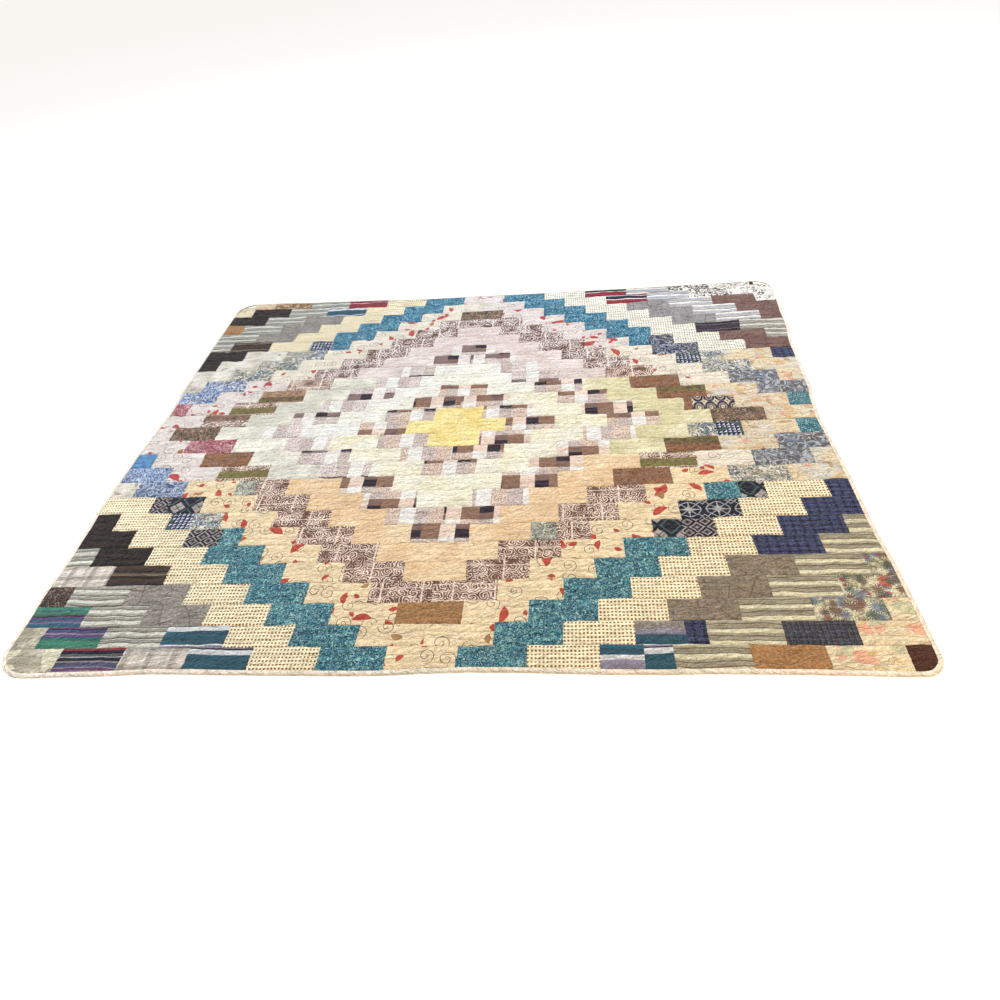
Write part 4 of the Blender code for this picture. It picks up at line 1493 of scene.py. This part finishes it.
class QuiltSettings(bpy.types.PropertyGroup):
    """Sizes of the quilt that the pieces share."""

    patch_width: bpy.props.FloatProperty(
        name="Patch width", description="Seam to seam along the long side of a patch",
        default=PATCH_WIDTH, unit="LENGTH")
    patch_depth: bpy.props.FloatProperty(
        name="Patch depth", description="Seam to seam across the short side of a patch",
        default=PATCH_DEPTH, unit="LENGTH")
    lines_per_patch: bpy.props.IntProperty(
        name="Lines per patch", description="Quilting lines in each row of patches",
        default=LINES_PER_PATCH, min=1)
    stitch_height: bpy.props.FloatProperty(
        name="Stitch height", description="Thickness where the quilting is stitched",
        default=0.0050, unit="LENGTH")
    puff_rise: bpy.props.FloatProperty(
        name="Puff rise", description="Rise between two quilting lines", default=0.0023, unit="LENGTH")
    gather_rise: bpy.props.FloatProperty(
        name="Gather rise", description="Height of the small gathers by the stitches",
        default=0.0011, unit="LENGTH")
    crinkle_rise: bpy.props.FloatProperty(
        name="Crinkle rise", description="Height of the washed-in creases of the face",
        default=0.0008, unit="LENGTH")
    edge_height: bpy.props.FloatProperty(
        name="Edge height", description="Thickness beside the binding", default=0.0045, unit="LENGTH")
    seam_drop: bpy.props.FloatProperty(
        name="Seam drop", description="Depth of the dip along a seam", default=0.0004, unit="LENGTH")
    seam_gap: bpy.props.FloatProperty(
        name="Seam gap", description="Space left to each side of a seam",
        default=0.00004, unit="LENGTH")
    base_height: bpy.props.FloatProperty(
        name="Base height", description="Top of the wadding under the patches",
        default=0.0032, unit="LENGTH")
    binding_width: bpy.props.FloatProperty(
        name="Binding width", description="Width of the folded strip", default=0.0112, unit="LENGTH")
    binding_height: bpy.props.FloatProperty(
        name="Binding height", description="Height of the folded strip", default=0.0054, unit="LENGTH")
    binding_colour: bpy.props.FloatVectorProperty(
        name="Binding colour", description="Screen colour of the folded strip",
        default=(0.867, 0.820, 0.745), subtype="COLOR_GAMMA", min=0.0, max=1.0)
    backing_colour: bpy.props.FloatVectorProperty(
        name="Backing colour", description="Screen colour of the backing",
        default=(0.918, 0.894, 0.827), subtype="COLOR_GAMMA", min=0.0, max=1.0)
    seed: bpy.props.IntProperty(
        name="Seed", description="Changes where each patch is cut from its cloth", default=7)


class StudioSettings(bpy.types.PropertyGroup):
    """The floor, the camera and the lights."""

    camera_place: bpy.props.FloatVectorProperty(
        name="Camera place", description="Where the camera stands",
        default=(0.3257, -2.0004, 1.4508), subtype="TRANSLATION")
    camera_turn: bpy.props.FloatVectorProperty(
        name="Camera turn", description="Tilt down, roll and turn of the camera",
        default=(0.7320, -0.1149, -0.1348), subtype="EULER")
    lens: bpy.props.FloatProperty(
        name="Lens", description="Focal length on a 36 mm sensor", default=25.04, unit="CAMERA")
    window_power: bpy.props.FloatProperty(
        name="Window power", description="Cool soft light behind the quilt",
        default=215.0, unit="POWER")
    room_power: bpy.props.FloatProperty(
        name="Room power", description="Warm soft light before the quilt", default=120.0, unit="POWER")
    side_power: bpy.props.FloatProperty(
        name="Side power", description="Cool soft light beside the quilt, most at the back right",
        default=250.0, unit="POWER")
    window_sun: bpy.props.FloatProperty(
        name="Window light", description="Strength of the low cool light from the back left",
        default=1.9)
    room_sun: bpy.props.FloatProperty(
        name="Room light", description="Strength of the warm light from the front right", default=1.0)
    sky: bpy.props.FloatProperty(
        name="Sky", description="Strength of the even light all round", default=0.20)
    floor_size: bpy.props.FloatProperty(
        name="Floor size", description="Half of the floor's side", default=30.0, unit="LENGTH")


class QUILT_OT_top(bpy.types.Operator):
    """Piece the patchwork top, one object for each cloth"""

    bl_idname = "quilt.top"
    bl_label = "Patchwork top"

    def execute(self, context):
        """Make every patch and join those of one cloth."""
        settings = context.scene.quilt
        outline = Outline()
        random = np.random.default_rng(settings.seed)
        pieces = {}
        for row, left, right, name in patch_plan(outline, settings):
            straight = CLOTHS[name][0] in ("banded", "halved")
            shape = patch_shape(outline, row, left, right, straight, settings, random)
            pieces.setdefault(name, Piece()).add(*shape)
        dyer = Dyer()
        for name, piece in pieces.items():
            way, choices = CLOTHS[name]
            material = dyer.cloth(name, way, choices)
            piece.make("patches_" + name.replace(" ", "_"), material, "patchwork")
        if len(pieces) < 10:
            raise RuntimeError("the piecing table names too few cloths")
        return {"FINISHED"}


class QUILT_OT_binding(bpy.types.Operator):
    """Fold the binding over the edge of the top"""

    bl_idname = "quilt.binding"
    bl_label = "Folded binding"

    def execute(self, context):
        """Carry the folded strip once round the quilt."""
        settings = context.scene.quilt
        dyes = (tuple(settings.binding_colour), "blush")
        cotton = Dyer().cloth("binding cotton", "mottled", dict(dyes=dyes, cells=4, share=0.6), 0.8, 0.0)
        binding = binding_shape(Outline(), settings).make("folded_binding", cotton, "binding_cotton")
        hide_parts("binding")
        return {"FINISHED"}


class QUILT_OT_backing(bpy.types.Operator):
    """Make the wadding and backing that the patches are quilted to"""

    bl_idname = "quilt.backing"
    bl_label = "Wadding and backing"

    def execute(self, context):
        """Make the sheet and let it stand for the CAD sandwich."""
        settings = context.scene.quilt
        outline = Outline()
        dyer = Dyer()
        dyes = (tuple(settings.backing_colour), "milk warm")
        material = dyer.cloth("backing cotton", "mottled", dict(dyes=dyes, cells=6, share=0.4))
        backing = backing_shape(outline, settings).make("wadding_and_backing", material, "patchwork")
        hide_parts("quilt_body")
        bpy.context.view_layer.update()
        patches = [item for item in bpy.data.objects if item.name.startswith("patches_")]
        binding = bpy.data.objects.get("folded_binding")
        if binding is None or not patches:
            raise RuntimeError("the top and the binding come before the backing")
        return {"FINISHED"}


class QUILT_OT_studio(bpy.types.Operator):
    """Set up the plain floor, the soft lights and the camera"""

    bl_idname = "quilt.studio"
    bl_label = "Plain studio"

    def execute(self, context):
        """Make the floor, the soft lamps, the two suns, the even light and the camera."""
        settings = context.scene.quilt_studio
        half = settings.floor_size
        corners = [(-half, -half, 0), (half, -half, 0), (half, half, 0), (-half, half, 0)]
        mesh = bpy.data.meshes.new("floor")
        mesh.from_pydata(corners, [], [(0, 1, 2, 3)])
        floor = bpy.data.objects.new("floor", mesh)
        floor.location.z = -FLOOR_DROP
        context.scene.collection.objects.link(floor)
        paint = bpy.data.materials.new("pale floor")
        paint.use_nodes = True
        shader = paint.node_tree.nodes["Principled BSDF"]
        shader.inputs["Base Color"].default_value = FLOOR_PAINT
        shader.inputs["Roughness"].default_value = FLOOR_ROUGHNESS
        shader.inputs["Specular IOR Level"].default_value = 0.0
        shader.inputs["Emission Color"].default_value = (1.0, 1.0, 1.0, 1.0)
        shader.inputs["Emission Strength"].default_value = FLOOR_GLOW
        mesh.materials.append(paint)
        for name, place, radius, colour, power, share in LAMPS:
            self.bulb(name, place, radius, colour, getattr(settings, power) * share)
        for name, way, spread, colour, strength in SUNS:
            self.sun(name, way, spread, colour, getattr(settings, strength))
        world = bpy.data.worlds.new("even light")
        world.use_nodes = True
        sky = world.node_tree.nodes["Background"]
        sky.inputs["Color"].default_value = EVEN_LIGHT
        sky.inputs["Strength"].default_value = settings.sky
        context.scene.world = world
        context.scene.view_settings.view_transform = "Standard"
        self.camera(settings)
        return {"FINISHED"}

    def sun(self, name, way, spread, colour, strength):
        """An even light from far off, softened by its spread in degrees."""
        lamp = bpy.data.lights.new(name, "SUN")
        lamp.angle = math.radians(spread)
        lamp.color = colour
        lamp.energy = strength
        item = bpy.data.objects.new(name, lamp)
        bpy.context.scene.collection.objects.link(item)
        away = np.array(way) / np.linalg.norm(way)
        side = np.cross((0.0, 0.0, 1.0), away)
        side = side / np.linalg.norm(side)
        turn = Matrix(np.column_stack([side, np.cross(away, side), away]).tolist()).to_4x4()
        item.matrix_world = Matrix.Translation(away * SUN_AWAY) @ turn

    def bulb(self, name, place, radius, colour, power):
        """A large soft lamp that shines all round."""
        lamp = bpy.data.lights.new(name, "POINT")
        lamp.shadow_soft_size = radius
        lamp.color = colour
        lamp.energy = power
        item = bpy.data.objects.new(name, lamp)
        item.location = place
        bpy.context.scene.collection.objects.link(item)

    def camera(self, settings):
        """The camera at the photo's place: tilted down, then rolled, then turned."""
        tilt, roll, yaw = settings.camera_turn
        level = np.array((math.sin(yaw), math.cos(yaw), 0.0))
        side = np.array((math.cos(yaw), -math.sin(yaw), 0.0))
        up = np.array((0.0, 0.0, 1.0))
        ahead = level * math.cos(tilt) - up * math.sin(tilt)
        over = up * math.cos(tilt) + level * math.sin(tilt)
        right = side * math.cos(roll) + over * math.sin(roll)
        top = over * math.cos(roll) - side * math.sin(roll)
        lens = bpy.data.cameras.new("camera")
        lens.lens = settings.lens
        lens.sensor_width = SENSOR_WIDTH
        lens.clip_end = SEEN_TO
        item = bpy.data.objects.new("camera", lens)
        bpy.context.scene.collection.objects.link(item)
        turn = Matrix(np.column_stack([right, top, -ahead]).tolist()).to_4x4()
        item.matrix_world = Matrix.Translation(settings.camera_place) @ turn
        bpy.context.scene.camera = item


# Settings that the panel shows
QUILT_SHOWN = (
    "patch_width", "patch_depth", "lines_per_patch", "puff_rise", "gather_rise", "binding_colour",
    "backing_colour", "seed",
)
STUDIO_SHOWN = ("window_power", "room_power", "side_power", "window_sun", "room_sun", "sky", "lens")


class QUILT_PT_panel(bpy.types.Panel):
    """Buttons and sizes of the quilt"""

    bl_idname = "QUILT_PT_panel"
    bl_label = "Patchwork Quilt"
    bl_space_type = "VIEW_3D"
    bl_region_type = "UI"
    bl_category = "Quilt"

    def draw(self, context):
        """Show the sizes and one button for each step."""
        layout = self.layout
        settings = context.scene.quilt
        for name in QUILT_SHOWN:
            layout.prop(settings, name)
        studio = context.scene.quilt_studio
        for name in STUDIO_SHOWN:
            layout.prop(studio, name)
        for step in ("quilt.top", "quilt.binding", "quilt.backing", "quilt.studio"):
            layout.operator(step)


CLASSES = (
    QuiltSettings, StudioSettings, QUILT_OT_top, QUILT_OT_binding, QUILT_OT_backing, QUILT_OT_studio,
    QUILT_PT_panel,
)


def register():
    """Add the settings, the steps and the panel."""
    for item in CLASSES:
        bpy.utils.register_class(item)
    bpy.types.Scene.quilt = bpy.props.PointerProperty(type=QuiltSettings)
    bpy.types.Scene.quilt_studio = bpy.props.PointerProperty(type=StudioSettings)


def unregister():
    """Take the settings, the steps and the panel away."""
    del bpy.types.Scene.quilt
    del bpy.types.Scene.quilt_studio
    for item in reversed(CLASSES):
        bpy.utils.unregister_class(item)


def main():
    """Build every piece in order."""
    register()
    bpy.ops.quilt.top()
    bpy.ops.quilt.binding()
    bpy.ops.quilt.backing()
    bpy.ops.quilt.studio()


if __name__ == "__main__":
    main()
